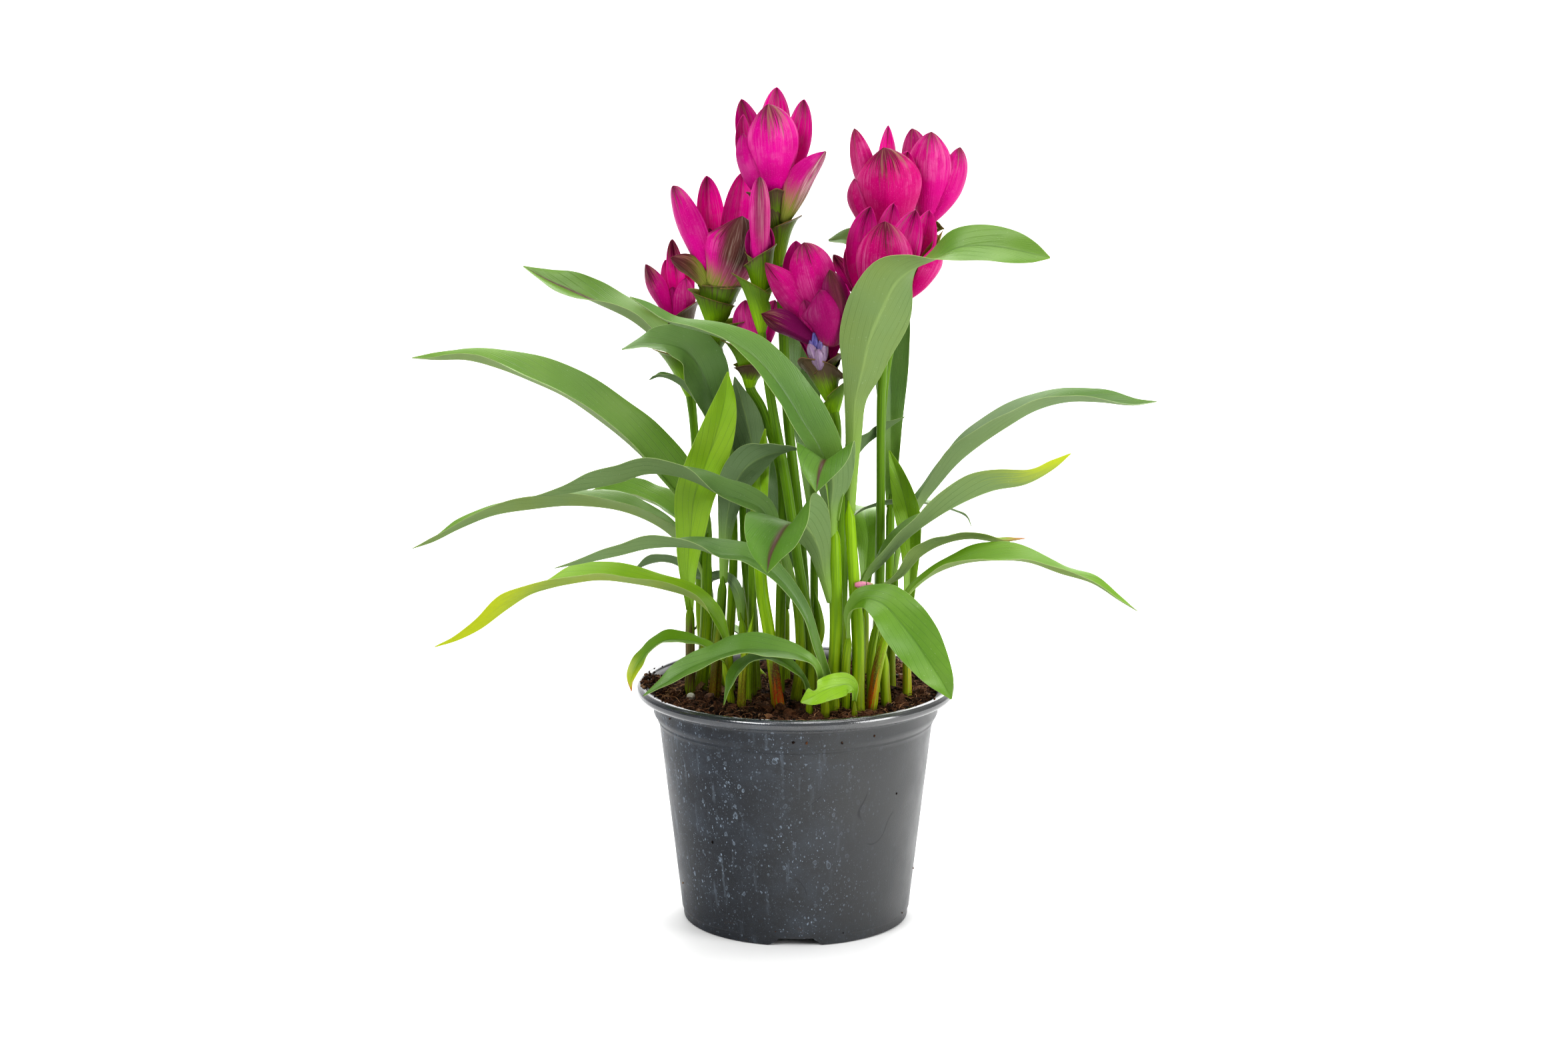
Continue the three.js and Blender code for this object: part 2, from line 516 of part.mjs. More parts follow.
    ], { fold: 20 }]],
  },
  shoot_middle: {
    foot: [-6, 14], stem: [[-6, 173, 20, 2.5], [-6, 193, 24, 2.4]],
    leaves: [[[
      [-6, 187, 23, 6, 0], [-7, 217, 28, 13, 0], [-8, 241, 29, 21, 0], [-9, 261, 30, 20, 0],
      [-10, 277, 32, 11, 0], [-13, 286, 34, 1, 0],
    ], { fold: 20 }]],
  },
  shoot_upright_back: {
    foot: [12, 16], stem: [[11, 193, 20, 2.5], [11, 241, 22, 2.3]],
    leaves: [[[
      [11, 233, 22, 6, 0], [7, 281, 24, 12, 0], [5, 313, 26, 20, 0], [3, 337, 28, 22, 0],
      [6, 361, 30, 13, 0], [8, 376, 32, 1, 0],
    ], { fold: 20 }]],
  },
  shoot_back_right: {
    foot: [27, 8], stem: [[27, 173, 12, 2.8], [27, 217, 15, 2.6]],
    leaves: [[[
      [27, 209, 15, 6, -100], [31, 269, 20, 9, -110], [40, 285, 26, 15, -115], [51, 294, 32, 12, -110],
      [64, 303, 38, 1, -110],
    ]], [[
      [27, 205, 15, 6, -85], [29, 237, 23, 10, -85], [39, 247, 28, 15, -88], [57, 251, 33, 16, -88],
      [77, 251, 44, 14, -88], [93, 247, 52, 9, -88], [101, 243, 55, 5, -88], [104, 237, 56, 1, -88],
    ], { fold: 10 }]],
  },
  shoot_tall_back: {
    foot: [53, 38], stem: [[55, 173, 42, 2.8], [56, 257, 46, 2.6]],
    leaves: [[[
      [56, 249, 46, 7, 0], [56, 297, 48, 14, 5], [55, 341, 50, 24, 5], [51, 376, 50, 28, 15],
      [43, 398, 48, 24, 30], [31, 407, 44, 16, 40], [19, 407, 40, 2, 40],
    ], { fold: 20 }]],
  },
  shoot_arching_back: {
    foot: [40, 34], stem: [[41, 168, 38, 2.5], [41, 193, 40, 2.3]],
    leaves: [[[
      [41, 187, 40, 5, 0], [42, 213, 42, 9, 0], [43, 231, 45, 16, 0], [41, 244, 52, 18, 0],
      [41, 249, 66, 15, 0], [40, 246, 82, 8, 0], [40, 241, 94, 1, 0],
    ], { fold: 15, across: BACKWARD }]],
  },
  shoot_low_back: {
    foot: [-20, 36], stem: [[-23, 150, 37, 2.2], [-25, 158, 38, 2]],
    leaves: [[[
      [-25, 154, 38, 5, 60], [-30, 168, 42, 9, 75], [-43, 177, 48, 14, 85], [-55, 178, 54, 12, 88],
      [-63, 172, 58, 1, 88],
    ], { fold: 20 }]],
  },
  sprout_front: { foot: [-32, -41], stem: [[-31, 152, -38, 2.4], [-28, 168, -35, 2], [-25, 185, -32, 0.8]] },
  stub_right: { foot: [53, -37], stem: [[53, 148, -36, 2.8], [53, 164, -35, 2.4]] },
  sheath_back: { foot: [11, 1], stem: [[12, 158, 2, 2], [14, 175, 2, 3.4], [11, 200, 2, 0.8]] },
};

function shootBody({ foot, stem: rows, leaves = [] }) {
  return join([rooted(foot, rows), ...leaves.map(([points, options]) => leaf(points, options))]);
}

for (const [name, shoot] of Object.entries(shoots)) {
  addPart(name, shootBody(shoot), LEAF_GREEN);
}

// The shoot in front of the middle: a stout false stem that carries five leaves and a flower head.
const leader = shootBody({
  foot: [21, -52], stem: [[24, 173, -52, 3.9], [23, 213, -51, 3.9], [22, 241, -50, 3.6]],
  leaves: [[[
    [20, 138, -55, 7, 20], [17, 149, -60, 7, 25], [12, 164, -63, 8, 25], [6, 183, -64, 9, 30],
    [-4, 199, -64, 11, 35], [-17, 212, -64, 14, 42], [-31, 219, -65, 18, 48], [-45, 220, -66, 23, 55],
    [-59, 224, -68, 24, 72], [-73, 225, -70, 25, 96], [-88, 224, -72, 26, 106], [-104, 220, -74, 20, 106],
    [-122, 216, -76, 11, 102], [-143, 212, -78, 1, 98],
  ], { fold: 25 }], [[
    [21, 191, -54, 7, 0], [17, 208, -57, 11, 0], [13, 226, -61, 20, 0], [5, 238, -67, 38, 0],
    [-4, 238, -76, 48, 0], [-10, 231, -85, 44, 0], [-15, 220, -93, 28, 0], [-17, 209, -99, 1, 0],
  ], { fold: 32, across: [-1, 0, -0.3] }], [[
    [21, 229, -53, 8, 0], [21, 249, -56, 12, 0], [22, 263, -59, 25, 0], [20, 274, -65, 35, 0],
    [17, 277, -74, 38, 0], [14, 270, -83, 28, 0], [12, 258, -90, 1, 0],
  ], { fold: 34, across: FORWARD }], [[
    [22, 241, -52, 8, 20], [21, 267, -53, 16, 25], [13, 286, -53, 27, 32], [4, 300, -53, 35, 36],
    [-4, 313, -53, 39, 38], [-13, 327, -54, 39, 40], [-24, 339, -55, 35, 44], [-39, 348, -57, 28, 52],
    [-56, 354, -60, 20, 62], [-74, 359, -63, 14, 68], [-87, 367, -66, 9, 68], [-97, 374, -68, 1, 68],
  ], { fold: 34, phase: 0.6 }]],
});
const leaderStalk = stem(
  [[22, 235, -49], [22, 257, -47], [24, 297, -39], [21, 312, -36], [15, 337, -34]].map(front),
  [3, 2.9, 2.7, 3.1, CORE_RADIUS]);

// Flower heads: low and high are the ends of the green core, a bract is [u, v, d, width, bulge] at its tip.
const heads = {
  top: {
    foot: [7, -8],
    stalk: [[6, 173, -8, 3.3], [4, 213, -4, 3.1], [1, 249, 0, 3], [-5, 305, 3, 3], [-9, 381, 4, 3]],
    low: [-9, 381, 4], high: [-15, 431, 4],
    crown: [[-16, 486, -8, 36, 8], [-31, 490, 10, 22, 6], [4, 489, 8, 22, 6], [-11, 496, 18, 24, 6],
      [-30, 469, 0, 16, 7], [18, 459, -6, 20, 1]],
    cups: [[2, 422, -2, 24, 4], [-28, 436, 6, 24, 4], [-13, 437, -9, 26, 4], [-10, 431, 16, 24, 4]],
  },
  left: {
    foot: [-24, -4],
    stalk: [[-26, 185, 3, 3.2], [-29, 209, 10, 3.1], [-32, 265, 22, 3.1], [-44, 333, 23, 3.2],
      [-48, 357, 20, 3.2]],
    low: [-48, 357, 20], high: [-44, 382, 18],
    crown: [[-71, 439, 12, 20, 3], [-51, 445, 26, 22, 4], [-30, 447, 24, 24, 4], [-32, 420, 4, 34, 7],
      [-72, 396, 12, 18, 0], [-21, 411, 18, 18, 4]],
    cups: [[-61, 377, 12, 26, 4], [-37, 379, 12, 26, 4], [-46, 382, 32, 26, 4], [-30, 388, 22, 16, 3]],
  },
  far_left: {
    foot: [-52, 36],
    stalk: [[-56, 173, 42, 2.9], [-57, 213, 51, 2.8], [-58, 257, 58, 2.6], [-60, 297, 62, 2.6],
      [-62, 316, 64, 3]],
    low: [-62, 316, 64], high: [-68, 353, 64],
    crown: [[-86, 392, 60, 16, 3], [-70, 407, 66, 15, 3], [-63, 390, 58, 16, 3], [-74, 402, 76, 16, 3],
      [-60, 392, 74, 16, 3]],
    cups: [[-59, 376, 56, 18, 4], [-74, 365, 60, 18, 4], [-89, 344, 58, 22, 4], [-56, 341, 72, 22, 4]],
  },
  bud: {
    foot: [9, -22],
    stalk: [[8, 173, -18, 3.3], [1, 217, -15, 3], [-6, 265, -14, 3], [-14, 309, -14, 2.8],
      [-20, 353, -14, 2.8]],
    low: [-20, 353, -14], high: [-21, 388, -14],
    crown: [[-21, 444, -18, 14, 2.5], [-18, 437, -10, 13, 2.5], [-23, 435, -11, 13, 2.5]],
    cups: [[-12, 406, -19, 20, 5], [-26, 403, -8, 18, 4], [-37, 390, -18, 22, 3], [-14, 387, -8, 20, 2]],
  },
  middle: {
    foot: [-10, -10],
    stalk: [[-9, 193, -4, 3], [-8, 233, 4, 2.8], [-9, 269, 8, 2.8], [-20, 308, 12, 2.8], [-27, 321, 13, 3]],
    low: [-27, 321, 13], high: [-26, 337, 13],
    crown: [[-30, 372, 9, 20, 4], [-11, 371, 13, 18, 4], [-21, 370, 23, 20, 4], [-16, 347, 5, 16, 4]],
    cups: [[-45, 358, 7, 20, 2], [-36, 333, 5, 18, 3], [-21, 335, 23, 20, 3]],
  },
  right: {
    foot: [49, -15],
    stalk: [[49, 173, -10, 2.9], [50, 209, -10, 2.7], [50, 257, -14, 2.6], [50, 313, -20, 2.6],
      [51, 341, -23, 3]],
    low: [51, 341, -23], high: [51, 364, -23],
    crown: [[51, 418, -35, 36, 8], [42, 427, -17, 28, 7], [54, 430, -9, 26, 6], [68, 425, -21, 26, 6],
      [77, 425, -13, 22, 6], [80, 405, -25, 20, 5], [85, 413, -17, 14, 2]],
    cups: [[41, 372, -33, 26, 4], [61, 370, -31, 26, 4], [51, 373, -5, 26, 4]],
  },
  upper_right: {
    foot: [27, -32],
    stalk: [[27, 173, -28, 3.1], [28, 213, -25, 3], [28, 249, -18, 2.8], [38, 329, 8, 2.8],
      [51, 388, 14, 3]],
    low: [51, 388, 14], high: [53, 413, 14],
    crown: [[50, 461, 0, 42, 8], [31, 472, 12, 20, 5], [32, 443, 8, 14, 6], [51, 474, 26, 22, 5],
      [65, 459, 24, 24, 6]],
    cups: [[42, 411, 5, 26, 4], [61, 411, 8, 26, 4], [53, 413, 30, 26, 4]],
  },
  back_right: {
    foot: [47, 8],
    stalk: [[49, 193, 14, 2.8], [50, 249, 20, 2.7], [51, 313, 29, 2.7], [57, 353, 34, 2.8],
      [74, 398, 38, 3]],
    low: [74, 398, 38], high: [76, 421, 38],
    crown: [[66, 473, 34, 24, 5], [77, 470, 26, 30, 7], [92, 461, 36, 24, 6], [80, 471, 52, 24, 6],
      [89, 452, 50, 20, 5]],
    cups: [[67, 418, 30, 24, 4], [84, 418, 34, 24, 4], [76, 421, 52, 24, 4]],
  },
};

for (const [name, head] of Object.entries(heads)) {
  const stalk = rooted(head.foot, [...head.stalk, [...head.high, CORE_RADIUS]]);
  const green = flowerHead(name, head, stalk);
  addPart(`stalk_${name}`, green, CUP_GREEN);
}

const frontHead = {
  low: [21, 312, -36], high: [15, 337, -34],
  crown: [[-16, 394, -38, 22, 2], [3, 406, -36, 28, 5], [1, 406, -22, 24, 4], [20, 389, -44, 12, 3],
    [-15, 361, -42, 18, 0], [29, 382, -26, 22, 4]],
  cups: [[3, 338, -42, 24, 4], [26, 342, -38, 20, 3], [17, 340, -20, 24, 3], [20, 324, -42, 12, 2]],
};

// The one open flower: a small pale trumpet in the front head's cup.
function flower(grow) {
  const [throat, mouth] = [[14, 327, -41], [10, 350, -46]].map(front);
  const axis = mouth.clone().sub(throat).normalize();
  const petals = [[7, 342, -47, 7, 1], [17, 343, -46, 7, 1]];
  return join([
    stem([throat, mouth], [1.6 + grow, 2 + grow]),
    ...petals.map((row) => bract(throat, axis, row, PETAL_CURL, CUP_STATIONS, grow)),
  ]);
}

addPart("flower", flower(0), PALE_VIOLET);
addPart(
  "shoot_leader", flowerHead("front", frontHead, join([leader, leaderStalk]), [flower(GAP)]), LEAF_GREEN);

// A spent bud, caught between the sheath of the great right leaf and the leaves beside it.
const spentBud = [[35, 202, -55.4], [40, 202, -55], [46, 202, -55]].map(front);
addPart("spent_bud", stem(spentBud, [1.6, 1.9, 1.2]), PINK);

// The soil: a turned body that fills the pot, with a lumpy top and a plain hole for each stem.
function soilHeight(x, y) {
  const lumps = 0.9 * Math.sin(x / 7.3 + 1) * Math.sin(y / 6.1) + 0.6 * Math.sin((x + 1.7 * y) / 5.2);
  const slump = 5 * THREE.MathUtils.smoothstep(y - 0.6 * x, 20, 110);
  return SOIL + lumps - slump;
}

// Loose bits, half sunk in the soil: [x, y], half sizes along x, y and z, and a turn about Z.
const bits = {
  perlite: { at: [-62, -20], half: [2.6, 2.5, 2.4], turn: 0, material: PERLITE },
  clay_pebble: { at: [-51, -23], half: [3.6, 2.8, 2.4], turn: 0.4, material: CLAY },
  tan_chip: { at: [-17, -64], half: [3.8, 2.6, 1.8], turn: -0.3, material: TAN },
  bark_chip: { at: [64, 31], half: [5, 2.4, 2], turn: 0.5, material: BARK },
};

for (const [name, { at: [x, y], half, turn, material }] of Object.entries(bits)) {
  const lump = (grow) => {
    const geometry = new THREE.IcosahedronGeometry(1, 0);
    geometry.scale(...half.map((size) => size + grow));
    geometry.rotateZ(turn);
    geometry.translate(x, y, soilHeight(x, y) + 0.4 * half[2]);
    return solid(geometry);
  };
  holes.push(lump(HOLE_GAP));
  addPart(name, lump(0), material);
}

{
  const step = POT_HEIGHT - STEP_BELOW_RIM;
  const edge = COLLAR_RADIUS - WALL - GAP;
  const floor = CHANNEL_HEIGHT + FLOOR + GAP;
  const wallRadius = (z) => THREE.MathUtils.mapLinear(
    z, CHANNEL_HEIGHT + FLOOR, step - 1, WALL_FOOT_RADIUS - WALL, STEP_RADIUS - WALL) - GAP;
  const profile = [
    [0, FLOOR + GAP], [CHANNEL_INNER - 1 - FLOOR - GAP, FLOOR + GAP], [CHANNEL_INNER - FLOOR - GAP, floor],
    [wallRadius(floor), floor], [wallRadius(step - 1.5), step - 1.5], [edge - 0.2, step + 7],
    [edge, SOIL - 4], [edge - 1, SOIL], [edge * 0.75, SOIL], [edge * 0.4, SOIL], [0, SOIL],
  ];
  const lathe = new THREE.LatheGeometry(profile.map(([r, z]) => new THREE.Vector2(r, z)), SIDES);
  lathe.rotateX(Math.PI / 2);
  const position = lathe.getAttribute("position");
  for (let i = 0; i < position.count; i++) {
    if (position.getZ(i) > SOIL - 4.5) {
      const drop = SOIL - position.getZ(i);
      position.setZ(i, soilHeight(position.getX(i), position.getY(i)) - drop);
    }
  }
  addPart("soil", solid(lathe).subtract(join(holes)), PEAT);
}

export default plant;
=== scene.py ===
"""Looks of the potted curcuma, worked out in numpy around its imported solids.

Sizes are millimetres in the solids' frame, +Z up, and become metres when a mesh is made. In materials
they are metres. A point of the plant is [u, v, d]: u right and v up in a front view from EYE, and d
behind the pot's axis.
"""
import bpy
import numpy as np
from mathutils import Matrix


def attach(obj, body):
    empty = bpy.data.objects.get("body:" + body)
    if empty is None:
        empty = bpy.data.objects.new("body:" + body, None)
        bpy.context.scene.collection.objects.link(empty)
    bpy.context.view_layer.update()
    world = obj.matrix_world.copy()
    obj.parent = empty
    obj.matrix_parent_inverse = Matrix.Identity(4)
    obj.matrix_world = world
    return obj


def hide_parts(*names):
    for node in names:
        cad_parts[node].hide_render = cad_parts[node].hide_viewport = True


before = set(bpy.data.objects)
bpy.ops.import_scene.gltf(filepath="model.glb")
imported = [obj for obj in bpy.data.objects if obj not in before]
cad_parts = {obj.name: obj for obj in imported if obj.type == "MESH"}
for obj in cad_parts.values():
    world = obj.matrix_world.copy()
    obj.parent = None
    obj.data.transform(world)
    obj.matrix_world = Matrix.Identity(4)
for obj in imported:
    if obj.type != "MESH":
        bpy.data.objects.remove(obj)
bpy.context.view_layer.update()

# The nursery pot: blown from thin charcoal polypropylene as one shell, with a rolled lip, a collar, a step
# that lets pots stack, and a foot ring with three notches for drainage. Water left lime rings on its wall.
MM = 0.001
POT_HEIGHT = 143
RIM_RADIUS = 95
LIP_DEPTH = 6.5
COLLAR_RADIUS = 85.4
STEP_HEIGHT = POT_HEIGHT - 22.5
STEP_RADIUS = 81.7
WALL_FOOT_RADIUS = 68.3
FOOT_RADIUS = 67.4
FOOT_BAND = 5
WALL = 1.6
FLOOR = 1.8
CHANNEL_HEIGHT = 4
CHANNEL_INNER = 46
CHANNEL_OUTER = 61.5
NOTCHES = 3
DRAINS = 6
NOTCH_BOTTOM = 32
NOTCH_TOP = 19.5
NOTCH_HEIGHT = 4.5
DRAIN_RADIUS = 4.5
POT_SIDES = 192


class Value:
    """A shader socket that takes part in sums: each operator adds one Math node to its tree."""

    def __init__(self, socket):
        self.socket = socket

    def __add__(self, other):
        return calc("ADD", self, other)

    def __sub__(self, other):
        return calc("SUBTRACT", self, other)

    def __mul__(self, other):
        return calc("MULTIPLY", self, other)

    def __abs__(self):
        return calc("ABSOLUTE", self)

    def other(self, output):
        """Another output of the same node."""
        return Value(self.socket.node.outputs[output])


def feed(made, inputs):
    """Gives a node its inputs: a Value is linked, and anything else is set on the socket."""
    for key, value in inputs.items():
        if isinstance(value, Value):
            made.id_data.links.new(value.socket, made.inputs[key])
        else:
            made.inputs[key].default_value = value


def node(kind, inputs, output=0, tree=None, **settings):
    """An output of a new shader node, which joins the tree of its inputs. Settings are its own choices."""
    tree = tree or next(value.socket.id_data for value in inputs.values() if isinstance(value, Value))
    made = tree.nodes.new("ShaderNode" + kind)
    for key, value in settings.items():
        setattr(made, key, value)
    feed(made, inputs)
    return Value(made.outputs[output])


def calc(operation, *values):
    """A Math node's result."""
    return node("Math", dict(enumerate(values)), operation=operation)


def fade(value, low, high, bottom=0.0, top=1.0):
    """An eased step: bottom below low, top above high."""
    return node("MapRange", {0: value, 1: low, 2: high, 3: bottom, 4: top}, interpolation_type="SMOOTHSTEP")


def noise(where, scale, detail, rough=0.5):
    """A smooth noise from 0 to 1."""
    return node("TexNoise", {"Vector": where, "Scale": scale, "Detail": detail, "Roughness": rough}, "Fac")


def stretch(where, scale, turn=(0, 0, 0)):
    """Coordinates turned and scaled along each axis."""
    return node("Mapping", {0: where, "Scale": scale, "Rotation": turn})


def colour(code):
    """An sRGB colour like 3a7f2d as linear red, green, blue and alpha. A Value is returned as it is."""
    if isinstance(code, Value):
        return code
    parts = np.array([int(code[i:i + 2], 16) / 255 for i in (0, 2, 4)])
    return (*np.where(parts <= 0.04045, parts / 12.92, ((parts + 0.055) / 1.055) ** 2.4), 1.0)


def mix(share, first, second):
    """The first colour, and the second by its share."""
    return node("Mix", {0: share, 6: colour(first), 7: colour(second)}, 2, data_type="RGBA")


def layers(base, *coats):
    """The base with each (share, colour) laid over it in turn."""
    for share, over in coats:
        base = mix(share, base, over)
    return base


def bump(height, depth, strength=1.0):
    """Normals of a surface raised by height times depth."""
    return node("Bump", {"Strength": strength, "Distance": depth, "Height": height})


def material_of(name):
    """A new material, its node tree, and the Object coordinates of its points."""
    made = bpy.data.materials.new(name)
    made.use_nodes = True
    return made, made.node_tree, node("TexCoord", {}, "Object", made.node_tree)


def coat(material, base, roughness, shine=0.5, normal=None):
    """Gives a material's Principled shader its colour, roughness, specular level and normals."""
    shader = material.node_tree.nodes["Principled BSDF"]
    feed(shader, {"Base Color": base, "Roughness": roughness, "Specular IOR Level": shine})
    if normal:
        feed(shader, {"Normal": normal})


def weave(rows, columns, closed=False):
    """Four-sided faces of a grid of points; a closed one joins its last column to the first."""
    i, j = np.meshgrid(np.arange(rows - 1), np.arange(columns if closed else columns - 1), indexing="ij")
    k = (j + 1) % columns
    return np.stack([i * columns + j, i * columns + k, (i + 1) * columns + k, (i + 1) * columns + j],
                    axis=-1).reshape(-1, 4)


def capped(rows, columns):
    """Faces of a grid that is closed round its columns, with a cap on its first row and on its last."""
    loop = np.arange(columns)
    return [weave(rows, columns, closed=True), loop[None, ::-1], (loop + (rows - 1) * columns)[None]]


def flipped(faces):
    """The faces, each turned to look the other way."""
    return [face[:, ::-1] for face in faces]


def grid(*values):
    """Values spread over one grid, and stacked into its points."""
    return np.stack(np.broadcast_arrays(*values), axis=-1)


def polar(radius, bearing):
    """The x and y at a radius and bearing about the pot's axis."""
    return radius * np.cos(bearing), radius * np.sin(bearing)


def run_of(line):
    """The distance along a line of points to each of them."""
    return np.concatenate([[0], np.cumsum(np.linalg.norm(np.diff(line, axis=0), axis=1))])


def part(points, faces, uv=None, slot=0, **values):
    """One surface: its points, lists of faces, UVs, named values at its points, and its material's place."""
    points = np.asarray(points, float)
    count = points.size // 3
    return {"points": points.reshape(-1, 3), "faces": faces if isinstance(faces, list) else [faces],
            "uv": np.zeros((count, 2)) if uv is None else np.asarray(uv, float).reshape(-1, 2), "slot": slot,
            "values": {key: np.broadcast_to(np.asarray(value, float).reshape(-1), (count,))
                       for key, value in values.items()}}


def piece(name, parts, materials, slot, nodes=(), smooth=True):
    """Makes one mesh of the parts, which rides on the pot's body and stands for the named solids."""
    starts = np.cumsum([0] + [len(p["points"]) for p in parts])
    points = np.concatenate([p["points"] for p in parts]) * MM
    faces = [(f + start, p["slot"]) for p, start in zip(parts, starts) for f in p["faces"]]
    corners = np.concatenate([f.ravel() for f, _ in faces])
    sizes = np.concatenate([np.full(len(f), f.shape[1]) for f, _ in faces])
    mesh = bpy.data.meshes.new(name)
    mesh.vertices.add(len(points))
    mesh.vertices.foreach_set("co", points.ravel())
    mesh.loops.add(len(corners))
    mesh.loops.foreach_set("vertex_index", corners)
    mesh.polygons.add(len(sizes))
    mesh.polygons.foreach_set("loop_start", np.concatenate([[0], np.cumsum(sizes)[:-1]]))
    mesh.polygons.foreach_set("material_index", np.concatenate([np.full(len(f), s) for f, s in faces]))
    mesh.polygons.foreach_set("use_smooth", np.full(len(sizes), smooth))
    mesh.update(calc_edges=True)
    uv = np.concatenate([p["uv"] for p in parts])
    mesh.uv_layers.new(name="surface").uv.foreach_set("vector", uv[corners].ravel())
    for key in sorted({key for p in parts for key in p["values"]}):
        value = np.concatenate([p["values"].get(key, np.zeros(len(p["points"]))) for p in parts])
        mesh.attributes.new(key, "FLOAT", "POINT").data.foreach_set("value", value.astype(np.float32))
    for material in materials:
        mesh.materials.append(material)
    made = bpy.data.objects.new(name, mesh)
    bpy.context.scene.collection.objects.link(made)
    if slot:
        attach(made, "root")
    if nodes:
        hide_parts(*nodes)
    return made


def along(radius, height, steps):
    """Points of an outline, each given as its [radius, height] off a corner of the pot."""
    return [[radius + out, height + up] for out, up in steps]


def pot_profile():
    """The shell's outline from its middle below, out, up over the lip and back inside: [radius, height]."""
    lip = np.linspace(-1.25, 2.6, 41)
    swell = 1 - 0.035 * np.maximum(0, np.cos(lip * 7.5)) ** 4
    roll = np.column_stack([RIM_RADIUS - 3.2 + 3.2 * swell * np.cos(lip),
                            POT_HEIGHT - 3.4 + 3.4 * swell * np.sin(lip)])
    rise = np.linspace(0.04, 0.98, 12)
    wall = np.column_stack([WALL_FOOT_RADIUS + (STEP_RADIUS - WALL_FOOT_RADIUS) * rise,
                            FOOT_BAND + 0.8 + (STEP_HEIGHT - FOOT_BAND - 0.8) * rise])
    ledge, floor = POT_HEIGHT - LIP_DEPTH, CHANNEL_HEIGHT + FLOOR
    return np.array([
        [0.5, 0],
        *along(CHANNEL_INNER, 0, [[-1.6, 0], [-1, 0.3]]),
        *along(CHANNEL_INNER, CHANNEL_HEIGHT, [[-0.2, -0.4], [0.4, 0]]),
        *along(CHANNEL_OUTER, CHANNEL_HEIGHT, [[-0.4, 0], [0.1, -0.5]]),
        *along(CHANNEL_OUTER, 0, [[0.5, 0.2], [0.9, 0]]),
        *along(FOOT_RADIUS, 0, [[-0.8, 0], [-0.1, 0.4], [0, 1], [0.1, FOOT_BAND - 0.4]]),
        *along(WALL_FOOT_RADIUS, FOOT_BAND, [[-0.2, 0.4], [0.1, 1.2]]),
        *wall,
        *along(STEP_RADIUS, STEP_HEIGHT, [[0.1, -0.2], [0.55, 0], [0.8, 0.5], [0.7, 1.1], [0.75, 1.5],
                                          [1.1, 2.1], [2.6, 4.1]]),
        *along(COLLAR_RADIUS, STEP_HEIGHT, [[-0.75, 4.9], [-0.45, 5.8], [-0.35, 6.6]]),
        *along(COLLAR_RADIUS, ledge, [[-0.1, -3.9], [0, -3.6], [0.55, -3.4], [0.8, -2.9], [0.85, -1.9],
                                      [1, -0.9], [1.6, -0.2], [3, 0.1]]),
        *along(RIM_RADIUS, ledge, [[-3.6, 0], [-3, -0.2]]),
        *roll,
        [RIM_RADIUS - 7, POT_HEIGHT - 1.9],
        *along(COLLAR_RADIUS - WALL, POT_HEIGHT, [[1.2, -4], [0.3, -6.4], [0, -9]]),
        [COLLAR_RADIUS - WALL, STEP_HEIGHT + 7], [STEP_RADIUS - WALL, STEP_HEIGHT - 1],
        *along(WALL_FOOT_RADIUS - WALL, floor, [[0, 0.6], [-0.8, 0]]),
        [CHANNEL_INNER - FLOOR, floor], [CHANNEL_INNER - 1 - FLOOR, FLOOR], [0.5, FLOOR],
    ])


def turned(profile, angles):
    """The profile turned about the axis: rows of points, one for each angle."""
    return grid(*polar(profile[:, 0:1], angles[None]), profile[:, 1:2])


def pot_shell():
    """The turned shell, with its foot raised over each notch: flat in the middle, sloped at both sides."""
    half_top, half_bottom = NOTCH_TOP / 2 / FOOT_RADIUS, NOTCH_BOTTOM / 2 / FOOT_RADIUS
    middles = -np.pi / 2 + 2 * np.pi * np.arange(NOTCHES) / NOTCHES
    corners = (middles[:, None] + [-half_bottom, -half_top, half_top, half_bottom]).ravel()
    even = np.linspace(0, 2 * np.pi, POT_SIDES, False)
    angles = np.unique(np.round(np.concatenate([even, corners % (2 * np.pi)]), 6))
    profile = pot_profile()
    points = turned(profile, angles)
    away = np.abs((angles[:, None] - middles + np.pi) % (2 * np.pi) - np.pi).min(axis=1)
    raised = NOTCH_HEIGHT * np.clip((half_bottom - away) / (half_bottom - half_top), 0, 1)
    foot = slice(6, 13)
    points[foot, :, 2] = np.maximum(points[foot, :, 2], raised * np.linspace(0.9, 1, 7)[:, None])
    uv = grid(run_of(profile)[:, None] * MM, angles * RIM_RADIUS * MM)
    return part(points, flipped(capped(*points.shape[:2])), uv)


pot_plastic, tree, spot = material_of("charcoal_polypropylene")
side = node("SeparateXYZ", {0: spot})
height = side.other(2)
left = fade(side, 0.06, -0.01, 0.06)
wall_mask = fade(height, 0.139, 0.13)
thick = fade(noise(spot, 26, 3, 0.6), 0.36, 0.62, 0.35) * left * wall_mask
shaken = node("TexNoise", {"Vector": spot, "Scale": 260, "Detail": 2}, "Color")
shaken = node("VectorMath", {0: shaken, 1: (0.0028, 0.0028, 0.0028)}, operation="MULTIPLY")
ragged = node("VectorMath", {0: spot, 1: shaken}, operation="ADD")
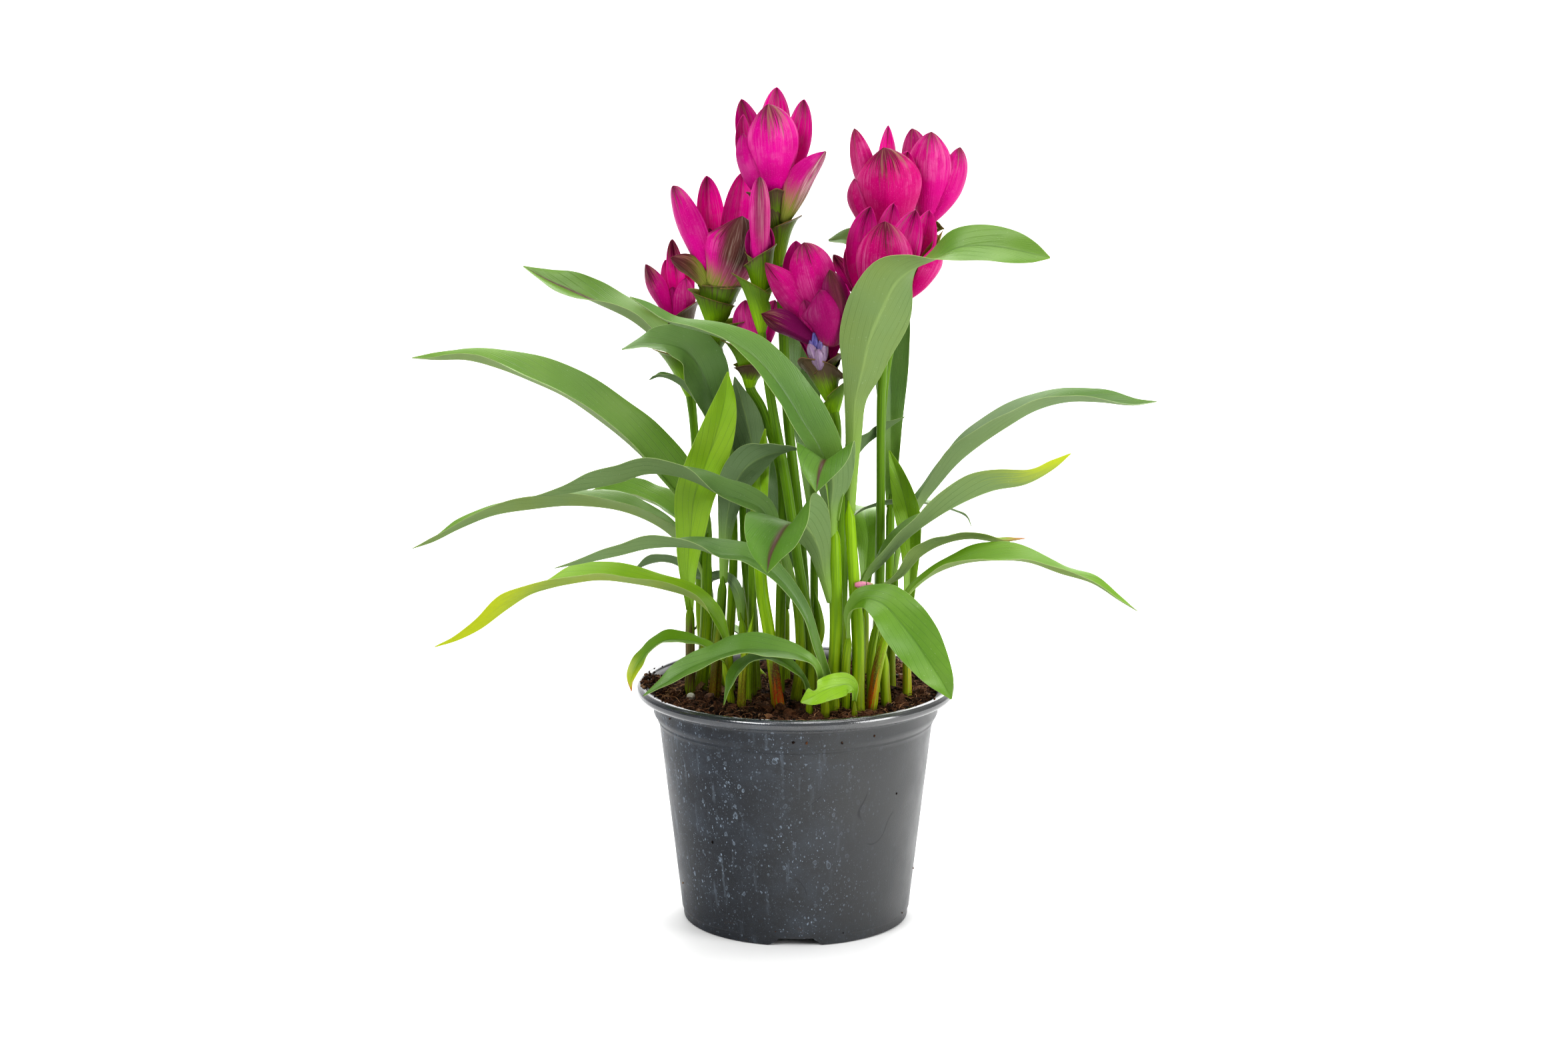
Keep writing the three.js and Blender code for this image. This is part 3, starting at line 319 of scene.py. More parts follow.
# Lime left by dried drops, as rings and specks of four sizes: the cells to a metre, the least reach and what
# is added to it at random, how hollow a mark is, and the share of cells that stay bare.
LIME_MARKS = [(95, 0.1, 0.14, 0.85, 0.55), (210, 0.1, 0.18, 0.6, 0.4), (430, 0.1, 0.22, 0, 0.35),
              (900, 0.12, 0.2, 0, 0.45)]
lime = 0.0
for cells, small, spread, hollow, bare in LIME_MARKS:
    drop = node("TexVoronoi", {"Vector": stretch(ragged, (1, 1, 0.72)), "Scale": cells}, "Distance")
    pick = node("SeparateColor", {0: drop.other("Color")})
    share = calc("DIVIDE", drop, calc("MULTIPLY_ADD", pick.other(1), spread, small))
    ring = fade(share, 1.0, 0.75) * fade(share, 0.5, 0.85, 1 - hollow)
    mark = ring * fade(pick, bare, bare + 0.2)
    lime = calc("MAXIMUM", mark * calc("MULTIPLY_ADD", pick.other(2), 0.6, 0.4), lime)
lime = lime * thick * fade(noise(spot, 500, 2), 0.3, 0.55, 0.35)
drips = fade(noise(stretch(ragged, (240, 240, 12)), 1, 3), 0.58, 0.74) * thick
haze = fade(noise(spot, 46, 5, 0.65), 0.4, 0.74) * left
dust = fade(noise(spot, 1700, 3, 0.7), 0.58, 0.7) * left
hair = fade(abs(noise(spot, 13, 1) - 0.5), 0.0022, 0.0006) * fade(noise(spot, 31, 1), 0.56, 0.6)
soiled = fade(noise(stretch(spot, (1, 1, 2.5)), 170, 4, 0.7), 0.6, 0.72)
soiled = soiled * calc("MAXIMUM", fade(height, 0.136, 0.142), fade(height, 0.02, 0.0))
# Painted shade on the inner wall above the compost: there the colour is taken down to near black.
flat = node("VectorMath", {0: spot, 1: (1, 1, 0)}, operation="MULTIPLY")
inner = fade(node("VectorMath", {0: flat}, "Value", operation="LENGTH"),
             (RIM_RADIUS - 4.5) * MM, (RIM_RADIUS - 6.5) * MM)
inner = inner * fade(height, (POT_HEIGHT - 8) * MM, (POT_HEIGHT - 6) * MM)
# Painted light and shade: the plastic darkens to blue-grey at the left and lightens to grey at the right.
base = layers(mix(fade(side, -0.06, 0.05), "1b1f26", "353636"),
              (fade(noise(spot, 9, 2), 0.3, 0.7, 0.0, 0.5), "26282c"),
              (haze * 0.2, "4f5a68"), (dust * 0.28, "6d7884"), (drips * 0.28, "76828f"),
              (lime * 0.72, "93a2b2"), (hair * 0.6, "15161a"), (soiled * 0.6, "4a3424"),
              (inner * 0.85, "120f0d"))
rough = fade(noise(spot, 60, 4, 0.6), 0.3, 0.7, 0.0, 0.08) + fade(wall_mask, 0.0, 1.0, 0.1, 0.33)
rough = rough + calc("MAXIMUM", lime, soiled) * 0.25 + inner * 0.45
sheen = fade(side, -0.08, 0.02, 0.16, 0.46) + fade(wall_mask, 1.0, 0.0, 0.0, 0.75)
scratches = fade(noise(stretch(spot, (40, 40, 1400), (0.5, 0.3, 0.2)), 1, 2), 0.62, 0.7) * 0.3
relief = noise(spot, 1300, 2) - scratches + lime * 0.5
coat(pot_plastic, base, rough, sheen, bump(relief, 0.00012, 0.45))

pot = piece("nursery_pot", [pot_shell()], [pot_plastic], "pot_plastic", ["pot"])
drain_ring = []
for k in range(DRAINS):
    place = polar((CHANNEL_INNER + CHANNEL_OUTER) / 2 * MM, 2 * np.pi * (k + 0.5) / DRAINS - np.pi / 2)
    bpy.ops.mesh.primitive_cylinder_add(vertices=24, radius=DRAIN_RADIUS * MM, depth=12 * MM,
                                        location=(*place, CHANNEL_HEIGHT * MM))
    drain_ring.append(bpy.context.object)
cutters = bpy.data.collections.new("drain_cutters")
for cutter in drain_ring:
    cutters.objects.link(cutter)
drill = pot.modifiers.new("drains", "BOOLEAN")
drill.operand_type = "COLLECTION"
drill.collection = cutters
drill.solver = "EXACT"
bpy.context.view_layer.objects.active = pot
bpy.ops.object.modifier_apply(modifier=drill.name)
for cutter in drain_ring:
    bpy.data.objects.remove(cutter)
bpy.data.collections.remove(cutters)

# The compost: peat packed in to just under the lip, slumped a little at the back, with loose crumbs on top.
# One closed bed fills the pot, and the crumbs are small irregular lumps pressed into it.
SOIL = 137
GAP = 0.3
BED_RADIUS = COLLAR_RADIUS - WALL
BED_RINGS = 96
BED_SIDES = 288
CRUMBS = 3400
EDGE_CRUMBS = 620
LIP_CRUMBS = 90
SPILT_CRUMBS = 180
CLODS = 520
LATTICE = 256
# Heaps of compost, each as x, y, reach and height: one has spilt over the lip at the left.
HEAPS = [[-79, 2, 10, 5.5], [58, 44, 15, 6], [66, -12, 14, 3], [30, -66, 12, 1.5]]


def hills(x, y, cell, seed):
    """Smooth random heights from -1 to 1: a seeded lattice of that cell size, eased between its points."""
    lattice = np.random.default_rng(seed).uniform(-1, 1, (LATTICE, LATTICE))
    gx, gy = np.asarray(x) / cell + LATTICE // 2, np.asarray(y) / cell + LATTICE // 2
    i, j = np.floor(gx).astype(int) % LATTICE, np.floor(gy).astype(int) % LATTICE
    fx, fy = gx - np.floor(gx), gy - np.floor(gy)
    fx, fy = fx * fx * (3 - 2 * fx), fy * fy * (3 - 2 * fy)
    next_i, next_j = (i + 1) % LATTICE, (j + 1) % LATTICE
    near = lattice[i, j] * (1 - fx) + lattice[next_i, j] * fx
    far = lattice[i, next_j] * (1 - fx) + lattice[next_i, next_j] * fx
    return near * (1 - fy) + far * fy


def eased(value, low, high):
    """A smooth step from 0 at low to 1 at high."""
    t = np.clip((value - low) / (high - low), 0, 1)
    return t * t * (3 - 2 * t)


def broad_height(x, y):
    """The compost's height at (x, y) without its crumbs: broad lumps, and a slump towards the back left."""
    swell = 0.9 * np.sin(x / 7.3 + 1) * np.sin(y / 6.1) + 0.6 * np.sin((x + 1.7 * y) / 5.2)
    return SOIL + swell - 5 * eased(y - 0.6 * x, 20, 110)


def soil_height(x, y):
    """The compost's height at (x, y), with its heaps and crumbly hills."""
    broad = broad_height(x, y)
    for middle_x, middle_y, reach, high in HEAPS:
        broad = broad + high * np.exp(-((x - middle_x) ** 2 + (y - middle_y) ** 2) / reach ** 2)
    return broad + 1.5 * hills(x, y, 6.5, 1) + 1.1 * hills(x, y, 2.9, 2) + 0.7 * hills(x, y, 1.4, 3)


def peat_bed():
    """A turned body: up the pot's wall, in over the bed's rim, and in rings to its middle at its heights."""
    edge = BED_RADIUS - GAP
    floor = CHANNEL_HEIGHT + FLOOR
    low, high = floor + GAP, STEP_HEIGHT - 1.5
    slope = (STEP_RADIUS - WALL_FOOT_RADIUS) / (STEP_HEIGHT - 1 - floor)
    foot = WALL_FOOT_RADIUS - WALL - GAP
    wall = [[0.5, low], [foot, low], [foot + slope * (high - low), high],
            [edge - 0.2, STEP_HEIGHT + 7], [edge, SOIL - 6]]
    rings = [[r, SOIL] for r in np.linspace(edge, 0.5, BED_RINGS)]
    points = turned(np.array(wall + rings), np.linspace(0, 2 * np.pi, BED_SIDES, False))
    top = points[len(wall):]
    x, y = top[..., 0], top[..., 1]
    rim = eased(np.hypot(x, y), edge - 5, edge)
    top[..., 2] = soil_height(x, y) * (1 - rim) + (SOIL - 3.5 + 0.8 * hills(x, y, 3, 4)) * rim
    return part(points, flipped(capped(*points.shape[:2])))


def ball(detail):
    """A round of triangles: its points on a unit sphere, and its faces."""
    bpy.ops.mesh.primitive_ico_sphere_add(subdivisions=detail, radius=1)
    made = bpy.context.object
    points = np.array([v.co for v in made.data.vertices])
    faces = np.array([p.vertices[:] for p in made.data.polygons])
    bpy.data.objects.remove(made)
    return points, faces


def lumps(x, y, z, sizes, seed, detail=1, ragged=0.35):
    """Irregular lumps: one ball for each place, stretched at random, turned, and dented at its points."""
    rng = np.random.default_rng(seed)
    points, faces = ball(detail)
    count = len(x)
    dents = 1 + ragged * rng.uniform(-1, 1, (count, len(points), 1))
    stretched = rng.uniform(0.6, 1.3, (count, 1, 3))
    turns = np.linalg.qr(rng.normal(size=(count, 3, 3)))[0]
    turns *= np.sign(np.linalg.det(turns))[:, None, None]
    shapes = np.einsum("cij,cpj->cpi", turns, points[None] * dents * stretched)
    shapes = shapes * sizes[:, None, None] + np.column_stack([x, y, z])[:, None]
    faces = faces[None] + (np.arange(count) * len(points))[:, None, None]
    return part(shapes, faces.reshape(-1, 3), tone=np.repeat(rng.uniform(0, 1, count), len(points)))


def value_of(tree, name):
    """A named value of the mesh's points."""
    return node("Attribute", {}, "Fac", tree, attribute_name=name)


peat, tree, spot = material_of("peat")
tone = value_of(tree, "tone")
base = layers(mix(fade(noise(spot, 260, 4, 0.75), 0.38, 0.66), "0e0704", "523420"),
              (fade(tone, 0.45, 0.9) * 0.6, "704a31"), (fade(tone, 0.93, 0.97), "96765a"),
              (fade(noise(spot, 900, 3, 0.7), 0.6, 0.7, 0.0, 0.7), "8a684c"),
              (fade(noise(spot, 700, 2), 0.42, 0.32, 0.0, 0.8), "0b0503"))
coat(peat, base, 0.9, 0.2, bump(noise(spot, 700, 5, 0.75), 0.0012))
piece("peat_bed", [peat_bed()], [peat], "peat", ["soil"])
rng = np.random.default_rng(11)


def strewn(count, reach, smallest, largest, power):
    """Random places on the compost within a reach, as x and y, with sizes that favour the smallest."""
    spread, bearing = np.sqrt(rng.uniform(0, 1, count)) * reach, rng.uniform(0, 2 * np.pi, count)
    return *polar(spread, bearing), smallest + (largest - smallest) * rng.uniform(0, 1, count) ** power


x, y, size = strewn(CRUMBS, BED_RADIUS - 2.2, 0.3, 1.5, 2)
crumbs = lumps(x, y, soil_height(x, y) + 0.35 * size, size, 12, 1, 0.5)
x, y, size = strewn(CLODS, BED_RADIUS - 5, 1.3, 4.2, 3)
clods = lumps(x, y, soil_height(x, y) + 0.15 * size, size, 16, 2, 0.4)
bearing = rng.uniform(0, 2 * np.pi, EDGE_CRUMBS)
x, y = polar(BED_RADIUS - rng.uniform(0.2, 5, EDGE_CRUMBS), bearing)
size = 0.4 + 1.6 * rng.uniform(0, 1, EDGE_CRUMBS) ** 2
edge_crumbs = lumps(x, y, np.maximum(soil_height(x, y), SOIL - 3.4) + 0.3 * size, size, 13)
# A few crumbs have spilt on to the lip, most of them from the heap at the left, and some cling to the wall.
bearing = np.concatenate([rng.normal(-2.3, 1.1, LIP_CRUMBS), rng.normal(-3.12, 0.1, SPILT_CRUMBS)])
spread = RIM_RADIUS - 3.2 - rng.uniform(-0.6, 4.6, LIP_CRUMBS + SPILT_CRUMBS)
spilt = slice(LIP_CRUMBS, None)
spread[spilt] = RIM_RADIUS - 2.5 - 14 * rng.uniform(0, 1, SPILT_CRUMBS) ** 0.7
size = rng.uniform(0.25, 0.85, LIP_CRUMBS + SPILT_CRUMBS)
size[spilt] *= 1.7
drop = np.interp(spread, RIM_RADIUS - np.array([7.8, 5, 3.2, 1.5]), [2.4, 0.5, 0, 0.6])
drop[spilt] -= np.clip(RIM_RADIUS - 3 - spread[spilt], 0, 4) * rng.uniform(0, 0.9, SPILT_CRUMBS)
lip_crumbs = lumps(*polar(spread, bearing), POT_HEIGHT - drop + 0.15 * size, size, 14)
bearing = np.radians([-91, -86, -72, -58, -131, -150, -163, -41, -22, -8, 40, 95, 160, -100, -66, -120])
height = np.array([128, 127.6, 126.8, 128.5, 60, 131, 24, 88, 7, 30, 126, 127, 92, 9, 6.5, 2])
spread = np.interp(height, [0, FOOT_BAND, STEP_HEIGHT, STEP_HEIGHT + 5, POT_HEIGHT],
                   [FOOT_RADIUS, WALL_FOOT_RADIUS, STEP_RADIUS, COLLAR_RADIUS - 0.5, COLLAR_RADIUS + 0.2])
wall_crumbs = lumps(*polar(spread, bearing), height, np.linspace(0.9, 0.35, len(height)), 15)
piece("peat_crumbs", [crumbs, clods, edge_crumbs, lip_crumbs, wall_crumbs], [peat], "peat", smooth=False)

# Coconut fibres and fine roots in the compost: short stiff hairs that lie on it and stand up a little.
# Each is a thin tube with four sides, bent once or twice.
FIBRES = 1900
FIBRE_POINTS = 8


def hairs(foot, heading, length, thick, lift, bend, seed):
    """Thin tubes from each foot: a line that turns evenly by bend as it runs, and arches up by lift."""
    rng = np.random.default_rng(seed)
    run = np.linspace(0, 1, FIBRE_POINTS)[None]
    angle = heading[:, None] + bend[:, None] * (run - 0.5) + 0.5 * np.sin(6 * run + heading[:, None])
    ahead = np.stack([np.cos(angle), np.sin(angle)], axis=-1) * (length / (FIBRE_POINTS - 1))[:, None, None]
    flat = np.cumsum(ahead, axis=1) - ahead[:, :1] + foot[:, None, :2]
    rise = lift[:, None] * np.sin(np.pi * run * rng.uniform(0.5, 1, (len(foot), 1)))
    line = np.concatenate([flat, (foot[:, 2:3] + rise)[..., None]], axis=-1)
    sideways = np.stack([-np.sin(angle), np.cos(angle), 0 * angle], axis=-1)
    turn = (np.arange(4) * np.pi / 2)[None, None, :, None]
    girth = (thick[:, None] * (1 - 0.6 * run))[:, :, None, None]
    ring = (sideways[:, :, None] * np.cos(turn) + np.array([0, 0, 1.0]) * np.sin(turn)) * girth
    side, last = weave(FIBRE_POINTS, 4, closed=True), 4 * FIBRE_POINTS - 4
    caps = np.array([[3, 2, 1, 0], [last, last + 1, last + 2, last + 3]])
    faces = np.concatenate([side, caps])[None] + (np.arange(len(foot)) * 4 * FIBRE_POINTS)[:, None, None]
    tone = np.repeat(rng.uniform(0, 1, len(foot)), 4 * FIBRE_POINTS)
    return part(line[:, :, None] + ring, faces.reshape(-1, 4), tone=tone)


fibre, tree, spot = material_of("coconut_fibre")
base = layers(mix(fade(value_of(tree, "tone"), 0.2, 1.0), "4a2a19", "bd8f66"),
              (fade(noise(spot, 500, 2), 0.4, 0.7), "6b4128"))
coat(fibre, base, 0.8)
rng = np.random.default_rng(21)
mats = np.array(HEAPS)[rng.integers(0, len(HEAPS), FIBRES), :2] + rng.normal(0, 9, (FIBRES, 2))
spread = np.sqrt(rng.uniform(0, 1, FIBRES)) * (BED_RADIUS - 5)
foot = np.column_stack(polar(spread, rng.uniform(0, 2 * np.pi, FIBRES)))
foot[::3] = mats[::3]
foot *= np.minimum(1, (BED_RADIUS - 4) / np.linalg.norm(foot, axis=1))[:, None]
foot = np.column_stack([foot, soil_height(*foot.T) + 0.5])
coarse = rng.uniform(0, 1, FIBRES) ** 3
strands = hairs(foot, rng.uniform(0, 2 * np.pi, FIBRES), rng.uniform(3, 9, FIBRES) + 8 * coarse,
                0.09 + 0.24 * coarse, rng.uniform(0.5, 2.6, FIBRES), rng.normal(0, 1.6, FIBRES), 22)
piece("coconut_fibres", [strands], [fibre], "peat")

# Loose bits on the compost: a white ball of perlite, two burnt clay pebbles and a chip of pine bark. Each is
# a ball pressed out of round, and lies half sunk where its solid does. A row gives its slot, place, half
# size, turn, light and dark colour, and how ragged it is.
BITS = {
    "perlite": ("perlite", [-62, -20], [2.6, 2.5, 2.4], 0, "d9d7cf", "a7a296", 0.05),
    "clay_pebble": ("clay", [-51, -23], [3.6, 2.8, 2.4], 0.4, "6f4d38", "40291d", 0.16),
    "tan_chip": ("tan_clay", [-17, -64], [3.8, 2.6, 1.8], -0.3, "a87a4f", "6d4a30", 0.14),
    "bark_chip": ("bark", [64, 31], [5, 2.4, 2], 0.5, "9a8f84", "564c44", 0.2),
}
round_points, round_faces = ball(4)
for seed, (name, (slot, (x, y), half, turn, light, dark, ragged)) in enumerate(BITS.items()):
    stone, _, spot = material_of(name + "_surface")
    base = mix(fade(noise(spot, 420, 4, 0.7), 0.35, 0.65), dark, light)
    coat(stone, base, 0.85, normal=bump(noise(spot, 1300, 4, 0.7), 0.0005, 0.8))
    px, py, pz = round_points.T
    knobs = hills(px * 9 + seed * 31, py * 9 + pz * 7, 5, 5) + 0.5 * hills(pz * 9, px * 9 - py * 5, 2.4, 6)
    shape = round_points * (1 + ragged * knobs)[:, None] * half
    spin = np.array([[np.cos(turn), -np.sin(turn), 0], [np.sin(turn), np.cos(turn), 0], [0, 0, 1]])
    shape = shape @ spin.T + [x, y, broad_height(x, y) + 0.4 * half[2] + 0.5]
    piece(name + "_bit", [part(shape, round_faces)], [stone], slot, [name])

# Leafy shoots: each is a false stem of sheaths rolled round one another, which stands in the compost and
# opens into long blades. A blade is a thin living sheet, folded at its rib, with a pale horny margin.
EYE = np.array([-7.0, -2000.0, 643.0])
BURIED = 12
LEAF_THICKNESS = 0.7
EDGE_WAVE = 1.1
LEAF_ROWS = 76
STEM_SIDES = 22
HALF = np.array([0, 0.03, 0.08, 0.17, 0.3, 0.45, 0.6, 0.75, 0.87, 0.95, 0.985, 1])
ACROSS = np.concatenate([-HALF[:0:-1], HALF])


def front(rows):
    """Points [u, v, d] carried along their lines of sight to their depths."""
    rows = np.atleast_2d(np.asarray(rows, float))
    reach = 1 - rows[:, 2:3] / EYE[1]
    flat = EYE + (np.column_stack([rows[:, 0], np.full(len(rows), EYE[1]), rows[:, 1]]) - EYE) * reach
    flat[:, 1] = rows[:, 2]
    return flat


def unit(vectors):
    """The vectors at length 1."""
    return vectors / np.maximum(np.linalg.norm(vectors, axis=-1, keepdims=True), 1e-9)


def through(rows, count, power=0.5):
    """A smooth curve through the rows at even steps: centripetal at power 0.5, uniform at 0."""
    rows = np.asarray(rows, float)
    line = np.vstack([2 * rows[0] - rows[1], rows, 2 * rows[-1] - rows[-2]])
    gap = np.maximum(np.linalg.norm(np.diff(line, axis=0), axis=1), 1e-6) ** power
    at = np.linspace(0, len(rows) - 1, count)
    k = np.minimum(at.astype(int), len(rows) - 2)
    w = (at - k)[:, None]
    a, b, c, d = line[k], line[k + 1], line[k + 2], line[k + 3]
    ga, gb, gc = gap[k, None], gap[k + 1, None], gap[k + 2, None]
    leave = ((b - a) / ga - (c - a) / (ga + gb) + (c - b) / gb) * gb
    arrive = ((c - b) / gb - (d - b) / (gb + gc) + (d - c) / gc) * gb
    square, cube = 3 * (c - b) - 2 * leave - arrive, 2 * (b - c) + leave + arrive
    return b + leave * w + square * w ** 2 + cube * w ** 3


def sheet(middle, thickness, uv, **values):
    """A closed sheet about a grid of points: a face on each side, half a thickness off, and an edge band."""
    rows, columns = middle.shape[:2]
    normal = unit(np.cross(np.gradient(middle, axis=1), np.gradient(middle, axis=0)))
    raised = normal * thickness[..., None] / 2
    face = weave(rows, columns)
    under = rows * columns
    i, j = np.arange(rows - 1) * columns, np.arange(columns - 1)
    last, end = i + columns - 1, (rows - 1) * columns + j
    band = [np.stack([a, b, b + under, a + under], axis=-1)
            for a, b in ((i, i + columns), (last + columns, last), (j + 1, j), (end, end + 1))]
    both = {key: np.tile(np.broadcast_to(value, (rows, columns)).ravel(), 2) for key, value in values.items()}
    return part(np.concatenate([middle + raised, middle - raised]),
                [face, face[:, ::-1] + under, np.concatenate(band)], np.tile(uv.reshape(-1, 2), (2, 1)),
                upper=np.repeat([1.0, 0.0], under), **both)


def leaf(rows, fold=34, across=None, phase=0, young=0.3, gold=0, rust=0, dark=0, grey=0, bite=None):
    """A blade about its rib [u, v, d, width, turn]. At turn 0 its upper face looks at the eye, and turn rolls
    it about the rib. Its section leaves the rib at the fold's slope and bends on by a little; at the petiole
    the fold gives way to a gutter. Its margin waves along it, in a sine that grows with the square of q, the
    share of the way from its rib to its edge. A bite takes a share of its left half away, in a bell about a
    place along it."""
    rows = np.array(rows, float)
    rib = through(front(rows[:, :3]), LEAF_ROWS)
    tangent = unit(np.gradient(rib, axis=0))
    width, turn = through(rows[:, 3:5], LEAF_ROWS, 0).T
    t = np.linspace(0, 1, LEAF_ROWS)[:, None]
    if across is None:
        side = unit(np.cross(tangent, EYE - rib))
    else:
        side = unit(np.array(across) - tangent * (tangent @ np.array(across))[:, None])
    face = np.cross(side, tangent)
    turn = np.radians(turn)[:, None]
    normal = face * np.cos(turn) + side * np.sin(turn)
    edge = side * np.cos(turn) - face * np.sin(turn)
    half = np.maximum(width, 0.5)[:, None] / 2
    opened = np.maximum(eased(half, 2.5, 0.3 * width.max()), eased(t, 0.3, 0.5))
    steps = np.diff(HALF)
    mid = (HALF[1:] + HALF[:-1])[None] / 2
    curl = 1.35 * (1 - opened) + 0.12
    slope = np.radians(fold) * opened * (1 - np.exp(-mid / 0.05)) + curl * mid
    slope = slope - 0.5 * opened * np.radians(fold) * mid ** 2
    run = np.concatenate([0 * t, np.cumsum(np.cos(slope) * steps, axis=1)], axis=1) * half
    rise = np.concatenate([0 * t, np.cumsum(np.sin(slope) * steps, axis=1)], axis=1) * half
    run = np.concatenate([-run[:, :0:-1], run], axis=1)
    rise = np.concatenate([rise[:, :0:-1], rise], axis=1)
    if bite:
        place, share, size = bite
        kept = 1 - share * np.exp(-((t - place) / size) ** 4) * (ACROSS[None] > 0)
        run, rise = run * kept, rise * kept
    swing = EDGE_WAVE * np.minimum(1, half / 8)
    ripple = swing * ACROSS ** 2 * np.sin(2 * np.pi * (2.6 * t + phase) + 1.3 * ACROSS)
    ripple += 0.25 * swing * ACROSS ** 2 * np.sin(2 * np.pi * (7.3 * t + 3 * phase) + 2.1 * ACROSS)
    middle = rib[:, None] + edge[:, None] * run[..., None] + normal[:, None] * (rise + ripple)[..., None]
    q = np.abs(ACROSS)[None]
    thickness = LEAF_THICKNESS * (0.45 + 0.55 * (1 - q ** 3)) * (0.5 + 0.5 * (1 - t ** 6))
    return sheet(middle, thickness, grid(ACROSS[None] * 0.5 + 0.5, t), young=young, gold=gold, rust=rust,
                 dark=dark, grey=grey, vein=q * half - 0.13 * run_of(rib)[:, None])


def tube(line, radii, slot=1, step=0.0, seam=0.0, **values):
    """A round stem along the line. With a step, its section is a spiral: the outer sheath's edge stands proud
    of the stem by the step's share of the radius, and the edge winds slowly about it."""
    tangent = unit(np.gradient(line, axis=0))
    right = unit(np.array([1.0, 0, 0]) - tangent * tangent[:, :1])
    back = np.cross(tangent, right)
    share = np.linspace(0, 1, STEM_SIDES)[None]
    angle = (2 * np.pi * share + seam + 0.9 * np.linspace(0, 1, len(line))[:, None])[..., None]
    girth = (radii[:, None] * (1 - step / 2 + step * share))[..., None]
    points = line[:, None] + (right[:, None] * np.cos(angle) + back[:, None] * np.sin(angle)) * girth
    uv = grid(share, run_of(line)[:, None] * MM * 10)
    return part(points, capped(len(line), STEM_SIDES), uv, slot=slot, **values)


def false_stem(foot, rows, seam=0.0, young=0.3, blush=0.3, taper=0.8, **values):
    """A stem from [x, y] on the compost through rows [u, v, d, radius], with its straight buried end. Its
    last stretch thins by taper, inside the gutter of the blade that it opens into."""
    rows = np.array(rows, float)
    count = 10 * len(rows) + 6
    line = through(np.vstack([[*foot, SOIL], front(rows[:, :3])]), count)
    radii = through(np.vstack([rows[:1, 3:4], rows[:, 3:4]]), count)[:, 0]
    buried = line[0] + unit(line[0] - line[1]) * BURIED
    length = run_of(line)
    radii = radii * (1 - taper * eased(length, length[-1] - 11, length[-1]))
    flare = 1 + 0.12 * eased(SOIL + 16 - line[:, 2], 0, 16)
    line, radii = np.vstack([buried, line]), np.append(radii[0] * 1.1, radii * flare)
    return tube(line, radii, step=0.12, seam=seam, young=young, blush=blush, **values)


def streak_group():
    """Fine lines that run along a leaf or bract, each fading in and out: noise stretched far along v."""
    group = bpy.data.node_groups.new("long_streaks", "ShaderNodeTree")
    for name, kind in (("UV", "Vector"), ("Lines", "Float"), ("Length", "Float"), ("Place", "Vector")):
        group.interface.new_socket(name, in_out="INPUT", socket_type="NodeSocket" + kind)
    group.interface.new_socket("Streaks", in_out="OUTPUT", socket_type="NodeSocketFloat")
    uv, lines, length, place = (Value(given) for given in list(group.nodes.new("NodeGroupInput").outputs)[:4])
    across = node("SeparateXYZ", {0: uv})
    apart = node("SeparateXYZ", {0: place}, 2) * 9.0
    where = node("CombineXYZ", {0: across * lines, 1: across.other(1) * length, 2: apart})
    feed(group.nodes.new("NodeGroupOutput"), {0: noise(where, 1, 3, 0.6)})
    return group


def streaks(uv, lines, length, place):
    """The long streaks group placed in a material."""
    made = uv.socket.id_data.nodes.new("ShaderNodeGroup")
    made.node_tree = LONG_STREAKS
    feed(made, {"UV": uv, "Lines": lines, "Length": length, "Place": place})
    return Value(made.outputs[0])


def blade_place(tree):
    """Of a leaf or bract: its UV, the share of the way from its rib to its edge, and of the way along it."""
    uv = node("TexCoord", {}, "UV", tree)
    across = node("SeparateXYZ", {0: uv})
    return uv, abs(across * 2.0 - 1.0), across.other(1)


LONG_STREAKS = streak_group()
leaf_skin, tree, spot = material_of("curcuma_leaf")
uv, q, t = blade_place(tree)
upper, young, vein = (value_of(tree, name) for name in ("upper", "young", "vein"))
fine = calc("SINE", vein * (2 * np.pi / 1.15)) * fade(noise(spot, 90, 2), 0.38, 0.66, 0.1)
main = abs(calc("FRACT", calc("DIVIDE", vein, 3.6)) - 0.5)
main = fade(main, 0.09, 0.0) * fade(noise(spot, 40, 2), 0.25, 0.75)
cloud = noise(spot, 26, 3, 0.55)
top = mix(fade(cloud, 0.3, 0.75, 0.0, 0.45), mix(young, "446e12", "7ca600"), mix(young, "64882e", "92b41c"))
under = mix(fade(cloud, 0.3, 0.75, 0.0, 0.5), mix(young, "687e4e", "8a9a3c"), "6c8658")
lines = streaks(uv, 26, 3, spot)
wine = value_of(tree, "dark") * fade(q + lines * 0.12, 0.22, 0.08) * fade(t, 0.35, 0.75)
tipward = t + (lines - 0.5) * 0.3 + q * 0.12
golden = fade(tipward + value_of(tree, "gold") * 0.55, 1.02, 1.35) * 0.85
rusty = fade(tipward + value_of(tree, "rust") * 0.2, 1.13, 1.22)
keel = fade(q, 0.07, 0.015) * fade(upper, 0, 1, 0.18, 0.3)
# A grey sage tone over some leaves: partly their own bloom, and partly a painted sheen where they shine.
skin = layers(mix(upper, under, top), (value_of(tree, "grey"), "64785a"),
              (fade(noise(spot, 1100, 1), 0.7, 0.78, 0.0, 0.25), "a9b890"),
              (fade(fine, -1.0, 1.0, 0.0, 0.07), "2c4e14"), (main * 0.3, "223c10"),
              (fade(t, 0.26, 0.02) * 0.55, "86ab3a"), (keel, mix(upper, "9fb56e", "27460f")),
              (wine, "4d2422"), (golden, "a4ae12"), (rusty, "a8552a"),
              (fade(q, 0.984, 0.998) * 0.45, "a9b77c"))
relief = fine * 0.16 + main * -0.6 + noise(spot, 1400, 2) * 0.5
coat(leaf_skin, skin, fade(upper, 0, 1, 0.66, 0.44), fade(upper, 0, 1, 0.12, 0.46),
     bump(relief, 0.00016, 0.75))


